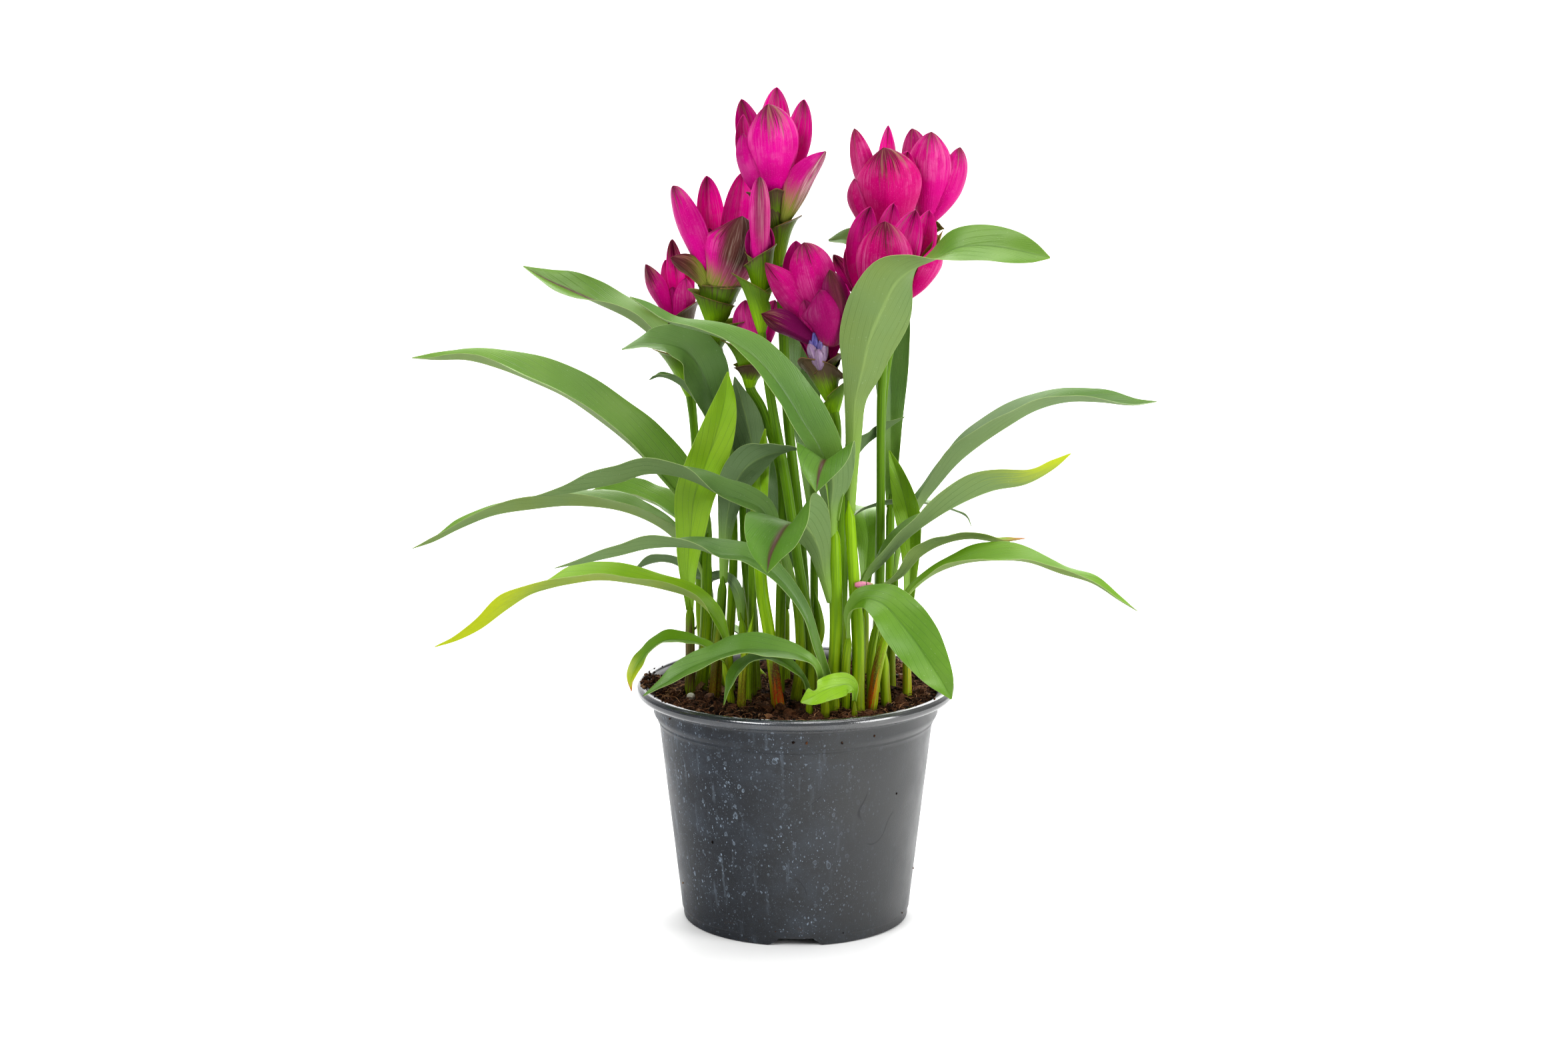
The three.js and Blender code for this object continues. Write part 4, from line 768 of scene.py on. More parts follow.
def over_soil(value, start, end, bottom=0.0, top=1.0):
    """An eased step between two heights over the compost, in millimetres."""
    return fade(value, (SOIL + start) * MM, (SOIL + end) * MM, bottom, top)


sheath, tree, spot = material_of("leaf_sheath")
uv = node("TexCoord", {}, "UV", tree)
height = node("SeparateXYZ", {0: spot}, 2)
young = value_of(tree, "young")
lines = streaks(uv, 24, 1.4, spot)
side = fade(calc("COSINE", node("SeparateXYZ", {0: uv}) * (2 * np.pi)) + lines, -0.2, 0.9, 0.25)
dots = fade(noise(spot, 1500, 2), 0.35, 0.6, 0.55)
low = height + (lines - 0.5) * 0.06
blush = over_soil(low, 52, 6) * value_of(tree, "blush") * side * dots * 0.9
ember = value_of(tree, "ember") * over_soil(low, 42, 28) * over_soil(low, 0, 7, 0.25) * side * dots
brown = value_of(tree, "brown") * over_soil(low, 54, 34) * over_soil(low, 2, 12, 0.2) * 0.9
skin = layers(mix(young, "335c0c", "8cb400"), (over_soil(height, 80, 6, 0.0, 0.55), "9fb410"),
              (fade(lines, 0.38, 0.66, 0.0, 0.6), mix(young, "234108", "4f7a08")),
              (blush, "6f2a14"), (ember, mix(over_soil(low, 12, 24), "c2400a", "54261a")),
              (brown, mix(fade(lines, 0.4, 0.6), "3c2219", "6b4a38")),
              (over_soil(height, 5, -1, 0.0, 0.6), "3a2a12"))
coat(sheath, skin, 0.42, 0.22, bump(lines, 0.0003, 0.6))

# Each shoot: its foot [x, y] on the compost, its stem's rows [u, v, d, radius], and its blades' rows
# [u, v, d, width, turn]. Its grown leaves are yellow-green while they are young, and some tips have turned
# gold or rusty. Low down, its stem shows a red-brown blush, a dry brown sheath, or an orange-red ember.
FORWARD = [-1, 0, 0]
BACKWARD = [1, 0, 0]
SHOOTS = {
    "shoot_tall_left": {
        "foot": [-63, -9], "stem": [[-63, 164, -9, 2.8], [-63, 193, -10, 2.6]], "grown": {"young": 1.0},
        "low": {"blush": 0.2, "brown": 0.95, "young": 0.7},
        "leaves": [{"fold": 16, "rows": [
            [-63, 187, -10, 6, 0], [-64, 213, -10, 12, 0], [-62, 237, -11, 19, 0], [-60, 255, -12, 24, 0],
            [-54, 273, -12, 25, 5], [-47, 293, -11, 22, 10], [-42, 313, -9, 14, 10], [-40, 330, -7, 1, 10],
        ]}],
    },
    "shoot_left": {
        "foot": [-57, -1],
        "stem": [[-54, 168, -2, 3.8], [-53, 193, 0, 3.6], [-53, 217, 2, 3.2], [-52, 233, 4, 2.6]],
        "grown": {"young": 0.35, "grey": 0.15}, "low": {"young": 0.6, "blush": 0.3},
        "leaves": [{"rows": [
            [-53, 197, 0, 7, 60], [-58, 213, 5, 12, 70], [-72, 230, 9, 24, 78], [-84, 239, 11, 29, 82],
            [-104, 247, 12, 31, 82], [-132, 250, 14, 31, 84], [-155, 248, 17, 28, 88],
            [-179, 244, 20, 24, 90], [-199, 236, 22, 17, 88], [-215, 228, 24, 9, 85],
            [-227, 224, 25, 1, 85],
        ]}, {"fold": 40, "phase": 0.4, "rows": [
            [-52, 221, 3, 7, 35], [-57, 239, 5, 16, 42], [-68, 255, 8, 30, 50], [-82, 271, 12, 40, 54],
            [-98, 287, 18, 44, 57], [-115, 301, 26, 44, 58], [-135, 315, 35, 40, 60],
            [-154, 324, 44, 35, 62], [-174, 332, 52, 29, 66], [-193, 337, 60, 21, 70],
            [-211, 337, 66, 12, 72], [-225, 338, 70, 1, 72],
        ]}],
    },
    "shoot_curled": {
        "foot": [-48, -12], "stem": [[-46, 168, -12, 3.4], [-44, 193, -12, 2.9], [-43, 209, -12, 2.6]],
        "grown": {"young": 0.0, "grey": 0.6}, "low": {"young": 0.3, "blush": 0.9},
        "leaves": [{"fold": 20, "rows": [
            [-43, 203, -12, 6, -180], [-42, 229, -14, 9, -180], [-40, 247, -17, 13, -180],
            [-36, 263, -20, 20, -170], [-27, 275, -23, 23, -160], [-15, 281, -27, 18, -130],
            [-5, 283, -33, 12, -100], [4, 283, -38, 9, -80], [11, 281, -41, 1, -70],
        ]}],
    },
    "shoot_broad_left": {
        "foot": [-42, 6], "stem": [[-38, 193, 8, 2.7], [-37, 241, 9, 2.4], [-40, 273, 9, 2.2]],
        "grown": {"young": 0.1, "grey": 0.4}, "low": {"young": 0.5, "blush": 0.5},
        "leaves": [{"fold": 20, "rows": [
            [-40, 269, 9, 7, 20], [-43, 295, 9, 14, 20], [-49, 314, 7, 24, 22], [-57, 333, 5, 33, 28],
            [-65, 342, 2, 33, 35], [-76, 346, -3, 25, 45], [-87, 346, -9, 14, 50], [-102, 343, -15, 1, 50],
        ]}, {"rows": [
            [-39, 249, 12, 6, 60], [-49, 293, 24, 10, 70], [-60, 314, 32, 14, 80], [-71, 324, 38, 13, 85],
            [-80, 327, 42, 8, 85], [-86, 325, 44, 1, 85],
        ]}],
    },
    "shoot_behind_left": {
        "foot": [-46, 24], "stem": [[-50, 173, 23, 2.8], [-52, 207, 21, 2.6]],
        "leaves": [{"rows": [
            [-52, 203, 20, 6, 50], [-59, 231, 28, 14, 55], [-73, 245, 34, 24, 58], [-88, 253, 42, 28, 60],
            [-106, 258, 50, 22, 66], [-123, 258, 58, 1, 66],
        ]}],
    },
    "shoot_bright": {
        "foot": [-10, -44],
        "stem": [[-16, 173, -37, 3.6], [-20, 197, -34, 3.6], [-22, 221, -30, 3.4], [-23, 236, -27, 3.2]],
        "grown": {"young": 0.9}, "low": {"young": 0.95, "blush": 0.4, "ember": 1.0},
        "leaves": [{"fold": 25, "rows": [
            [-23, 230, -27, 8, -10], [-21, 257, -15, 11, -10], [-20, 277, -8, 9, -10],
            [-18, 296, -6, 1, -10],
        ]}],
    },
    "shoot_grey": {
        "foot": [-29, -24], "stem": [[-31, 168, -22, 2.6], [-33, 185, -21, 2.2]],
        "grown": {"young": 0.05, "grey": 0.7},
        "leaves": [{"fold": 20, "rows": [
            [-32, 180, -21, 5, -160], [-33, 193, -18, 7, -170], [-38, 204, -7, 7, -195],
            [-45, 207, 5, 8, -215], [-53, 206, 14, 9, -232], [-62, 209, 15, 12, -240],
            [-72, 215, 14, 14, -245], [-84, 216, 16, 12, -245], [-96, 211, 18, 1, -245],
        ]}],
    },
    "shoot_crossing": {
        "foot": [0, -25], "stem": [[3, 160, -27, 3], [1, 189, -28, 2.7], [-3, 206, -30, 2.5]],
        "grown": {"young": 0.15, "grey": 0.4},
        "leaves": [{"phase": 0.2, "rows": [
            [-1, 197, -29, 6, 20], [-7, 216, -31, 9, 25], [-14, 234, -33, 12, 35], [-20, 247, -34, 16, 42],
            [-32, 253, -35, 19, 46], [-45, 257, -36, 21, 50], [-59, 264, -38, 23, 68],
            [-72, 268, -41, 26, 92], [-88, 269, -44, 29, 104], [-104, 264, -47, 29, 106],
            [-122, 260, -50, 23, 104], [-137, 257, -53, 13, 100], [-156, 255, -56, 1, 96],
        ]}],
    },
    "shoot_low_left": {
        "foot": [-38, -31], "stem": [[-42, 150, -31, 2.2], [-44, 158, -32, 2]],
        "grown": {"young": 0.35, "gold": 0.7, "rust": 0.9},
        "leaves": [{"fold": 20, "rows": [
            [-43, 155, -32, 5, 60], [-53, 164, -35, 11, 60], [-65, 168, -38, 14, 62],
            [-77, 168, -41, 15, 66], [-87, 162, -44, 14, 60], [-94, 153, -47, 11, 50],
            [-98, 144, -49, 6, 45], [-98, 137, -50, 1, 45],
        ]}],
    },
    "shoot_yellow_left": {
        "foot": [-38, -19], "stem": [[-40, 160, -22, 2.4], [-41, 170, -23, 2.2]],
        "grown": {"young": 0.9, "gold": 0.75}, "low": {"young": 0.95, "blush": 0.7},
        "leaves": [{"fold": 35, "phase": 0.7, "rows": [
            [-40, 165, -22, 5, -10], [-44, 175, -24, 8, 20], [-52, 186, -27, 14, 55],
            [-62, 194, -31, 20, 68], [-77, 199, -36, 25, 72], [-97, 203, -42, 29, 72],
            [-116, 205, -48, 29, 76], [-132, 203, -54, 26, 80], [-146, 200, -58, 17, 86],
            [-158, 196, -61, 15, 100], [-172, 187, -64, 22, 112], [-188, 175, -67, 18, 110],
            [-202, 168, -69, 9, 106], [-215, 164, -70, 1, 100],
        ]}],
    },
    "shoot_front_dark": {
        "foot": [17, -63], "stem": [[17, 134, -64, 2.3], [13, 146, -67, 2.2]],
        "grown": {"young": 0.1, "grey": 0.15},
        "leaves": [{"fold": 22, "rows": [
            [16, 138, -66, 5, 20], [11, 153, -70, 7, 35], [1, 159, -74, 14, 48], [-17, 162, -77, 21, 54],
            [-33, 162, -82, 23, 56], [-49, 157, -86, 21, 56], [-65, 150, -89, 16, 54],
            [-79, 141, -91, 9, 50], [-91, 134, -93, 1, 50],
        ]}],
    },
    "shoot_front_low": {
        "foot": [8, -58], "stem": [[8, 128, -59, 2], [7, 136, -61, 1.8]], "grown": {"young": 0.2},
        "leaves": [{"fold": 22, "rows": [
            [8, 131, -60, 4, 20], [5, 143, -62, 5, 40], [-2, 151, -64, 9, 50], [-13, 157, -67, 13, 55],
            [-25, 156, -70, 14, 60], [-34, 150, -73, 12, 60], [-39, 140, -74, 8, 60],
            [-43, 128, -74, 1, 60],
        ]}],
    },
    "shoot_bitten": {
        "foot": [34, -66], "stem": [[35, 126, -66, 1.6], [35, 134, -67, 1.4]], "grown": {"young": 0.8},
        "leaves": [{"fold": 12, "bite": [0.74, 0.62, 0.05], "rows": [
            [35, 131, -67, 3, 0], [35, 138, -68, 6, 0], [31, 141, -70, 12, 5], [24, 140, -74, 15, 5],
            [16, 137, -78, 14, 5], [9, 133, -80, 10, 5], [3, 130, -80, 1, 5],
        ]}],
    },
    "shoot_great_right": {
        "foot": [36, -53],
        "stem": [[37, 168, -51, 3.6], [35, 197, -50, 3.4], [33, 225, -50, 3.2], [31, 253, -50, 3]],
        "grown": {"young": 0.3, "grey": 0.15}, "low": {"young": 0.9},
        "leaves": [{"fold": 18, "rows": [
            [32, 245, -50, 8, -180], [33, 273, -51, 10, -180], [34, 293, -52, 12, -180],
            [35, 313, -53, 15, -178], [39, 331, -55, 25, -175], [43, 349, -57, 36, -172],
            [50, 366, -58, 40, -165], [58, 382, -57, 36, -150], [67, 390, -57, 30, -120],
            [81, 396, -58, 25, -82], [95, 403, -61, 25, -38], [111, 404, -65, 25, -28],
            [126, 402, -70, 21, -22], [139, 399, -74, 12, -20], [148, 397, -77, 1, -20],
        ]}],
    },
    "shoot_front_right": {
        "foot": [29, -51], "stem": [[30, 152, -57, 2.5], [32, 175, -59, 2.3]], "grown": {"young": 0.15},
        "low": {"young": 0.5},
        "leaves": [{"fold": 18, "rows": [
            [32, 170, -59, 6, -80], [33, 186, -61, 9, -60], [41, 193, -64, 17, -45],
            [52, 190, -68, 27, -25], [63, 178, -72, 31, -15], [73, 165, -75, 29, -10],
            [81, 153, -78, 23, -5], [88, 142, -80, 14, 0], [93, 132, -82, 1, 0],
        ]}],
    },
    "shoot_yellow_tip": {
        "foot": [38, -28], "stem": [[39, 168, -30, 2.6], [38, 191, -28, 2.4]],
        "grown": {"young": 0.25, "gold": 0.6, "grey": 0.25}, "low": {"young": 0.6, "blush": 0.4},
        "leaves": [{"fold": 38, "phase": 0.5, "rows": [
            [38, 183, -28, 6, -80], [42, 204, -29, 12, -80], [52, 215, -29, 20, -80],
            [65, 229, -26, 27, -84], [79, 240, -22, 30, -95], [97, 251, -16, 31, -108],
            [116, 259, -8, 29, -110], [136, 263, 2, 22, -110], [152, 272, 12, 12, -110],
            [162, 281, 22, 1, -110],
        ]}],
    },
    "shoot_red_tip": {
        "foot": [44, -36], "stem": [[45, 160, -34, 2.4], [49, 183, -34, 2.2]],
        "grown": {"young": 0.45, "gold": 0.35, "rust": 0.8, "grey": 0.2},
        "low": {"young": 0.8, "blush": 0.5},
        "leaves": [{"fold": 28, "rows": [
            [48, 180, -34, 5, -90], [53, 200, -35, 8, -95], [63, 207, -36, 14, -102],
            [75, 220, -37, 18, -104], [88, 227, -38, 19, -100], [103, 230, -39, 17, -88],
            [121, 228, -41, 10, -84], [136, 230, -43, 1, -84],
        ]}],
    },
    "shoot_low_right": {
        "foot": [44, -46], "stem": [[49, 152, -43, 3], [55, 175, -41, 2.7], [62, 190, -39, 2.3]],
        "grown": {"young": 0.35}, "low": {"young": 0.9, "blush": 0.4, "ember": 0.9},
        "leaves": [{"fold": 32, "phase": 0.3, "rows": [
            [60, 187, -39, 5, -75], [71, 200, -42, 9, -72], [83, 209, -46, 15, -70],
            [99, 215, -50, 22, -68], [117, 217, -54, 25, -66], [137, 216, -58, 22, -68],
            [157, 209, -62, 16, -72], [176, 203, -66, 12, -74], [193, 192, -70, 6, -76],
            [203, 186, -73, 1, -76],
        ]}],
    },
    "shoot_far_right": {
        "foot": [57, -5], "stem": [[57, 168, -1, 2.6], [58, 197, 3, 2.4], [60, 212, 8, 2.2]],
        "grown": {"young": 0.15, "grey": 0.4},
        "leaves": [{"fold": 42, "phase": 0.1, "rows": [
            [59, 205, 6, 5, -85], [64, 230, 16, 11, -85], [74, 249, 22, 20, -86], [84, 262, 28, 27, -86],
            [95, 275, 34, 32, -86], [108, 286, 41, 34, -84], [124, 297, 49, 34, -82],
            [141, 307, 57, 29, -76], [159, 312, 65, 22, -66], [178, 312, 73, 18, -62],
            [198, 310, 80, 10, -62], [212, 312, 86, 1, -62],
        ]}],
    },
    "shoot_upright_right": {
        "foot": [66, -18], "stem": [[66, 168, -12, 2.6], [67, 195, -5, 2.6]], "grown": {"young": 0.75},
        "low": {"young": 0.95, "ember": 0.9, "blush": 0.2},
        "leaves": [{"fold": 22, "rows": [
            [67, 189, -6, 7, 0], [68, 209, -2, 9, 0], [68, 225, 1, 13, -5], [67, 241, 3, 16, -8],
            [64, 255, 4, 15, -10], [60, 269, 5, 10, -10], [55, 283, 5, 1, -10],
        ]}],
    },
    "shoot_high_left": {
        "foot": [-30, 24], "stem": [[-29, 197, 30, 2.9], [-28, 249, 36, 2.5]],
        "grown": {"young": 0.25, "dark": 0.9, "grey": 0.15},
        "leaves": [{"fold": 34, "rows": [
            [-28, 241, 36, 7, 40], [-35, 293, 38, 13, 50], [-47, 317, 38, 22, 58], [-62, 336, 40, 29, 64],
            [-80, 348, 44, 32, 70], [-97, 361, 50, 33, 72], [-115, 370, 56, 30, 62],
            [-130, 377, 62, 24, 45], [-145, 384, 68, 15, 38], [-159, 392, 74, 1, 38],
        ]}],
    },
    "shoot_shaded": {
        "foot": [-26, -14], "stem": [[-26, 193, -7, 2.5], [-26, 225, -3, 2.3]],
        "grown": {"young": 0.05, "grey": 0.6},
        "leaves": [{"fold": 20, "rows": [
            [-26, 217, -4, 6, -170], [-23, 257, 0, 15, -165], [-25, 281, 0, 23, -165],
            [-30, 305, 0, 19, -165], [-36, 327, 0, 1, -165],
        ]}],
    },
    "shoot_middle": {
        "foot": [-6, 14], "stem": [[-6, 173, 20, 2.5], [-6, 193, 24, 2.4]],
        "grown": {"young": 0.1, "grey": 0.5},
        "leaves": [{"fold": 20, "rows": [
            [-6, 187, 23, 6, 0], [-7, 217, 28, 13, 0], [-8, 241, 29, 21, 0], [-9, 261, 30, 20, 0],
            [-10, 277, 32, 11, 0], [-13, 286, 34, 1, 0],
        ]}],
    },
    "shoot_upright_back": {
        "foot": [12, 16], "stem": [[11, 193, 20, 2.5], [11, 241, 22, 2.3]],
        "grown": {"young": 0.1, "grey": 0.4},
        "leaves": [{"fold": 20, "rows": [
            [11, 233, 22, 6, 0], [7, 281, 24, 12, 0], [5, 313, 26, 20, 0], [3, 337, 28, 22, 0],
            [6, 361, 30, 13, 0], [8, 376, 32, 1, 0],
        ]}],
    },
    "shoot_back_right": {
        "foot": [27, 8], "stem": [[27, 173, 12, 2.8], [27, 217, 15, 2.6]],
        "grown": {"young": 0.1, "grey": 0.5},
        "leaves": [{"rows": [
            [27, 209, 15, 6, -100], [31, 269, 20, 9, -110], [40, 285, 26, 15, -115],
            [51, 294, 32, 12, -110], [64, 303, 38, 1, -110],
        ]}, {"fold": 10, "rows": [
            [27, 205, 15, 6, -85], [29, 237, 23, 10, -85], [39, 247, 28, 15, -88], [57, 251, 33, 16, -88],
            [77, 251, 44, 14, -88], [93, 247, 52, 9, -88], [101, 243, 55, 5, -88], [104, 237, 56, 1, -88],
        ]}],
    },
    "shoot_tall_back": {
        "foot": [53, 38], "stem": [[55, 173, 42, 2.8], [56, 257, 46, 2.6]],
        "grown": {"young": 0.1, "grey": 0.3},
        "leaves": [{"fold": 20, "rows": [
            [56, 249, 46, 7, 0], [56, 297, 48, 14, 5], [55, 341, 50, 24, 5], [51, 376, 50, 28, 15],
            [43, 398, 48, 24, 30], [31, 407, 44, 16, 40], [19, 407, 40, 2, 40],
        ]}],
    },
    "shoot_arching_back": {
        "foot": [40, 34], "stem": [[41, 168, 38, 2.5], [41, 193, 40, 2.3]],
        "leaves": [{"fold": 15, "across": BACKWARD, "rows": [
            [41, 187, 40, 5, 0], [42, 213, 42, 9, 0], [43, 231, 45, 16, 0], [41, 244, 52, 18, 0],
            [41, 249, 66, 15, 0], [40, 246, 82, 8, 0], [40, 241, 94, 1, 0],
        ]}],
    },
    "shoot_low_back": {
        "foot": [-20, 36], "stem": [[-23, 150, 37, 2.2], [-25, 158, 38, 2]],
        "leaves": [{"fold": 20, "rows": [
            [-25, 154, 38, 5, 60], [-30, 168, 42, 9, 75], [-43, 177, 48, 14, 85], [-55, 178, 54, 12, 88],
            [-63, 172, 58, 1, 88],
        ]}],
    },
    "sprout_front": {
        "foot": [-32, -41], "stem": [[-31, 152, -38, 2.4], [-28, 168, -35, 2], [-25, 185, -32, 0.8]],
        "low": {"young": 0.95, "blush": 0.8},
    },
    "stub_right": {
        "foot": [53, -37], "stem": [[53, 148, -36, 2.8], [53, 164, -35, 2.4]],
        "low": {"young": 0.8, "blush": 0.6},
    },
    "sheath_back": {
        "foot": [11, 1], "stem": [[12, 158, 2, 2], [14, 175, 2, 3.4], [11, 200, 2, 0.8]],
    },
}
for number, (name, shoot) in enumerate(SHOOTS.items()):
    stem = false_stem(shoot["foot"], shoot["stem"], seam=2.4 * number, **shoot.get("low", {"young": 0.4}))
    blades = [leaf(**blade, **shoot.get("grown", {})) for blade in shoot.get("leaves", [])]
    piece(name + "_blades", [stem, *blades], [leaf_skin, sheath], "leaf", [name])

# Flower heads: a stalk ends in a spike of bracts. The lower ones are green pouches with a turned-out rim that
# hold the small flowers, and the upper ones are long magenta sails. All are thin, stiff and a little waxy.
BRACT_THICKNESS = 0.7
CORE_RADIUS = 3.8
BRACT_SEAT = 2.4
BRACT_FACING = 0.8
POUCH_WRAP = 9
POUCH_ROOT = 1.9
POUCH_SINK = 0.36
INNER_SAILS = 3
BRACT_ROWS = 31
BRACT_HALF = np.array([0, 0.04, 0.1, 0.2, 0.32, 0.46, 0.6, 0.73, 0.84, 0.92, 0.97, 1])
BRACT_ACROSS = np.concatenate([-BRACT_HALF[:0:-1], BRACT_HALF])[None]


def sail(centre, axis, row, foot=None, bend=0, peak=0.56, cup=1.0, hook=1.5, sharp=0.6, crease=0.07,
         **values):
    """A boat-shaped bract from the spike, or its own foot, to its tip [u, v, d]: its rib is a cubic curve
    that bows out by bulge and to the right by bend, its width a lens along the rib, widest at the peak and
    more pointed when sharp is high. Its section is an arc whose ends turn in by cup, creased at the rib, and
    its tip nods inwards by hook."""
    u, v, d, width, bulge = row
    tip = front([u, v, d])[0]
    outward = unit(tip - centre)
    outward[1] += -BRACT_FACING if tip[1] < centre[1] + 2 else BRACT_FACING
    outward = unit(outward - axis * (outward @ axis))
    base = front(foot)[0] if foot else centre + outward * BRACT_SEAT
    reach = tip - base
    bow = outward * 1.35 * bulge + unit(np.cross([0, 1, 0], reach)) * 1.33 * bend
    t = 1 - (1 - np.linspace(0, 1, BRACT_ROWS)[:, None]) ** 1.3
    a, b, c = base + 0.3 * reach + bow, base + 0.72 * reach + bow, base + reach
    rib = base * (1 - t) ** 3 + 3 * a * t * (1 - t) ** 2 + 3 * b * t ** 2 * (1 - t) + c * t ** 3
    tangent = unit(np.gradient(rib, axis=0))
    inward = unit(-outward + tangent * (tangent @ outward)[:, None])
    edge = np.cross(tangent, inward)
    q = BRACT_ACROSS
    lens = np.sin(np.pi * (0.11 + 0.89 * t ** (np.log(0.438) / np.log(peak)))) ** sharp
    span = np.maximum(width * lens, 0.4)
    angle = cup * (1.3 - 0.4 * t)
    radius = span / (2 * angle)
    rim = eased(np.abs(q), 0.72, 1.05) * eased(t, 0.25, 0.7)
    ripple = 0.55 * q ** 2 * np.sin(2 * np.pi * (1.7 * t + 0.13 * u) + 1.5 * q) * eased(t, 0.1, 0.5)
    keel = 0.5 * np.exp(-(q / 0.1) ** 2) * eased(t, 0.2, 0.6)
    pleats = 0.06 * np.cos(np.pi * 5.5 * q + 0.4 * u) * eased(t, 0.05, 0.3) * (1 - q ** 2)
    crest = crease * span * np.sqrt(q ** 2 + 0.004) * (1 - 0.4 * np.abs(q)) * eased(t, 0.1, 0.6)
    depth = radius * (1 - np.cos(angle * q)) + crest + ripple + pleats - keel - 0.5 * rim
    middle = (rib[:, None] + edge[:, None] * (radius * np.sin(angle * q))[..., None]
              + inward[:, None] * depth[..., None] - (outward * hook)[None, None] * (t ** 4)[..., None])
    thickness = BRACT_THICKNESS * (0.4 + 0.6 * (1 - q ** 4)) * (1 - 0.5 * t ** 4)
    return sheet(middle, thickness, grid(q * 0.5 + 0.5, t), **values)


def pouch(low, high, axis, row, wrap=POUCH_WRAP, sink=POUCH_SINK):
    """A bract wrapped round the spike as a funnel, with its tip [u, v, d] drawn out as a spout. Its foot
    closes on the core at seat, a share of the way up the spike. Its width is measured round the rim, at the
    radius wrap, and the rim sinks from the tip to both ends and turns out in a lip."""
    u, v, d, width, seat, brown = row
    foot = low + (high - low) * seat
    tip = front([u, v, d])[0] - foot
    height = tip @ axis
    outward = tip - axis * height
    reach = np.linalg.norm(outward)
    outward = outward / reach
    side = np.cross(axis, outward)
    t, q = np.linspace(0, 1, BRACT_ROWS)[:, None], BRACT_ACROSS
    wrap = min(wrap, 0.8 * reach)
    last = min(width / (2 * wrap), 2.5)
    angle = (-q * (3.0 + (last - 3.0) * eased(t, 0, 0.8)))[..., None]
    spout = (1 - np.sqrt(q ** 2 + 0.012) + 0.11) ** 1.7
    opened = wrap + (reach - wrap) * spout + 1.3 * eased(np.abs(q), 0.75, 1.0)
    belly = t ** 0.8 + 0.12 * np.sin(np.pi * t)
    radius = POUCH_ROOT + (wrap - POUCH_ROOT) * belly + (opened - wrap) * t ** 3
    radius = radius + 0.45 * eased(t, 0.88, 1.0) + 0.35 * np.sin(7 * q + 6 * t + u) * t ** 2
    rise = height * (t - 0.04 * eased(t, 0.9, 1.0)) * (1 - sink * np.abs(q) ** 1.2 * eased(t, 0.1, 1))
    spoke = outward * np.cos(angle) + side * np.sin(angle)
    middle = foot + axis * rise[..., None] + spoke * radius[..., None]
    thickness = BRACT_THICKNESS * (0.4 + 0.6 * (1 - q ** 4)) * (1 - 0.6 * t ** 4)
    return sheet(middle, thickness, grid(q * 0.5 + 0.5, t), brown=brown)


def stalk_rows(head):
    """The rows [u, v, d, radius] of a head's stalk, and on through its spike."""
    return [*head["stalk"], [*head["high"], CORE_RADIUS]]


def own_of(row):
    """A bract's row of numbers, and what is its own: the last of the row, where that is a dict."""
    return (row[:-1], row[-1]) if isinstance(row[-1], dict) else (row, {})


def flower_head(name, head, stalk, nodes):
    """One head: magenta sails and a few inner ones round the end of the spike, and the stalk with its
    pouches. The spike goes on from the stalk's last row to high."""
    low, high = front([head["stalk"][-1][:3], head["high"]])
    axis = unit(high - low)
    seat = high - head.get("sunk", 2) * axis
    warm = head.get("warm", 0)
    sails = []
    for row, own in map(own_of, head["crown"]):
        looks = dict(zip(("brown", "green", "shade", "pale"), row[5:]))
        sails.append(sail(seat, axis, row[:5], warm=warm, **looks, **own))
    top = np.array([tip[:3] for tip in head["crown"]])
    v = np.max(top[:, 1]) - 0.5 * np.max((front(top) - high) @ axis)
    middle = top.mean(axis=0)
    # The inner sails stand within the crown and get painted shade.
    for k in range(INNER_SAILS):
        lean = 2.1 * k + 0.6
        row = [middle[0] + 5 * np.cos(lean), v, middle[2] + 5 * np.sin(lean), 15, 1.5]
        sails.append(sail(seat, axis, row, brown=0.2, shade=0.7, pale=0.1, warm=warm))
    piece("crown_" + name + "_sails", sails, [sail_skin], "crown_bract", ["crown_" + name])
    pouches = [pouch(low, high, axis, row, **own) for row, own in map(own_of, head["cups"])]
    piece(nodes + "_pouches", [*stalk, *pouches], [pouch_skin, sheath, leaf_skin], "green_bract", [nodes])


sail_skin, tree, spot = material_of("magenta_bract")
uv, q, t = blade_place(tree)
upper, warm = value_of(tree, "upper"), value_of(tree, "warm")
lines, coarse = streaks(uv, 84, 2.2, spot), streaks(uv, 17, 1.5, spot)
banded, blotched = fade(lines, 0.4, 0.6), fade(coarse, 0.4, 0.6)
cells = noise(spot, 1700, 2)
high = fade(t, 0.3, 0.85, 0.35)
dusty = fade(noise(spot, 75, 3, 0.6), 0.46, 0.6) * fade(lines + coarse * 0.6, 0.62, 0.95)
dusty = dusty * fade(t, 0.3, 0.7, 0.1, 0.55)
pale = value_of(tree, "pale") * fade(coarse, 0.42, 0.62) * fade(t + q * 0.25, 0.4, 1.0, 0.0, 0.8)
upwards = t + (lines - 0.5) * 0.55 + (coarse - 0.5) * 0.4
greening = fade(value_of(tree, "green") - upwards, -0.1, 0.3) * 0.9
tipward = upwards + (lines - 0.5) * 0.5 - q * 0.2
brown = fade(tipward + value_of(tree, "brown") * 0.34, 0.93, 1.14) * 0.88
ribbed = fade(q + (lines - 0.5) * 0.7, 0.62, 0.22) * fade(t, 0.12, 0.5) * value_of(tree, "rib")
silver = value_of(tree, "silver") * fade(node("SeparateXYZ", {0: uv}), 0.7, 0.52)
silver = silver * fade(lines, 0.4, 0.56) * fade(t, 0.1, 0.4)
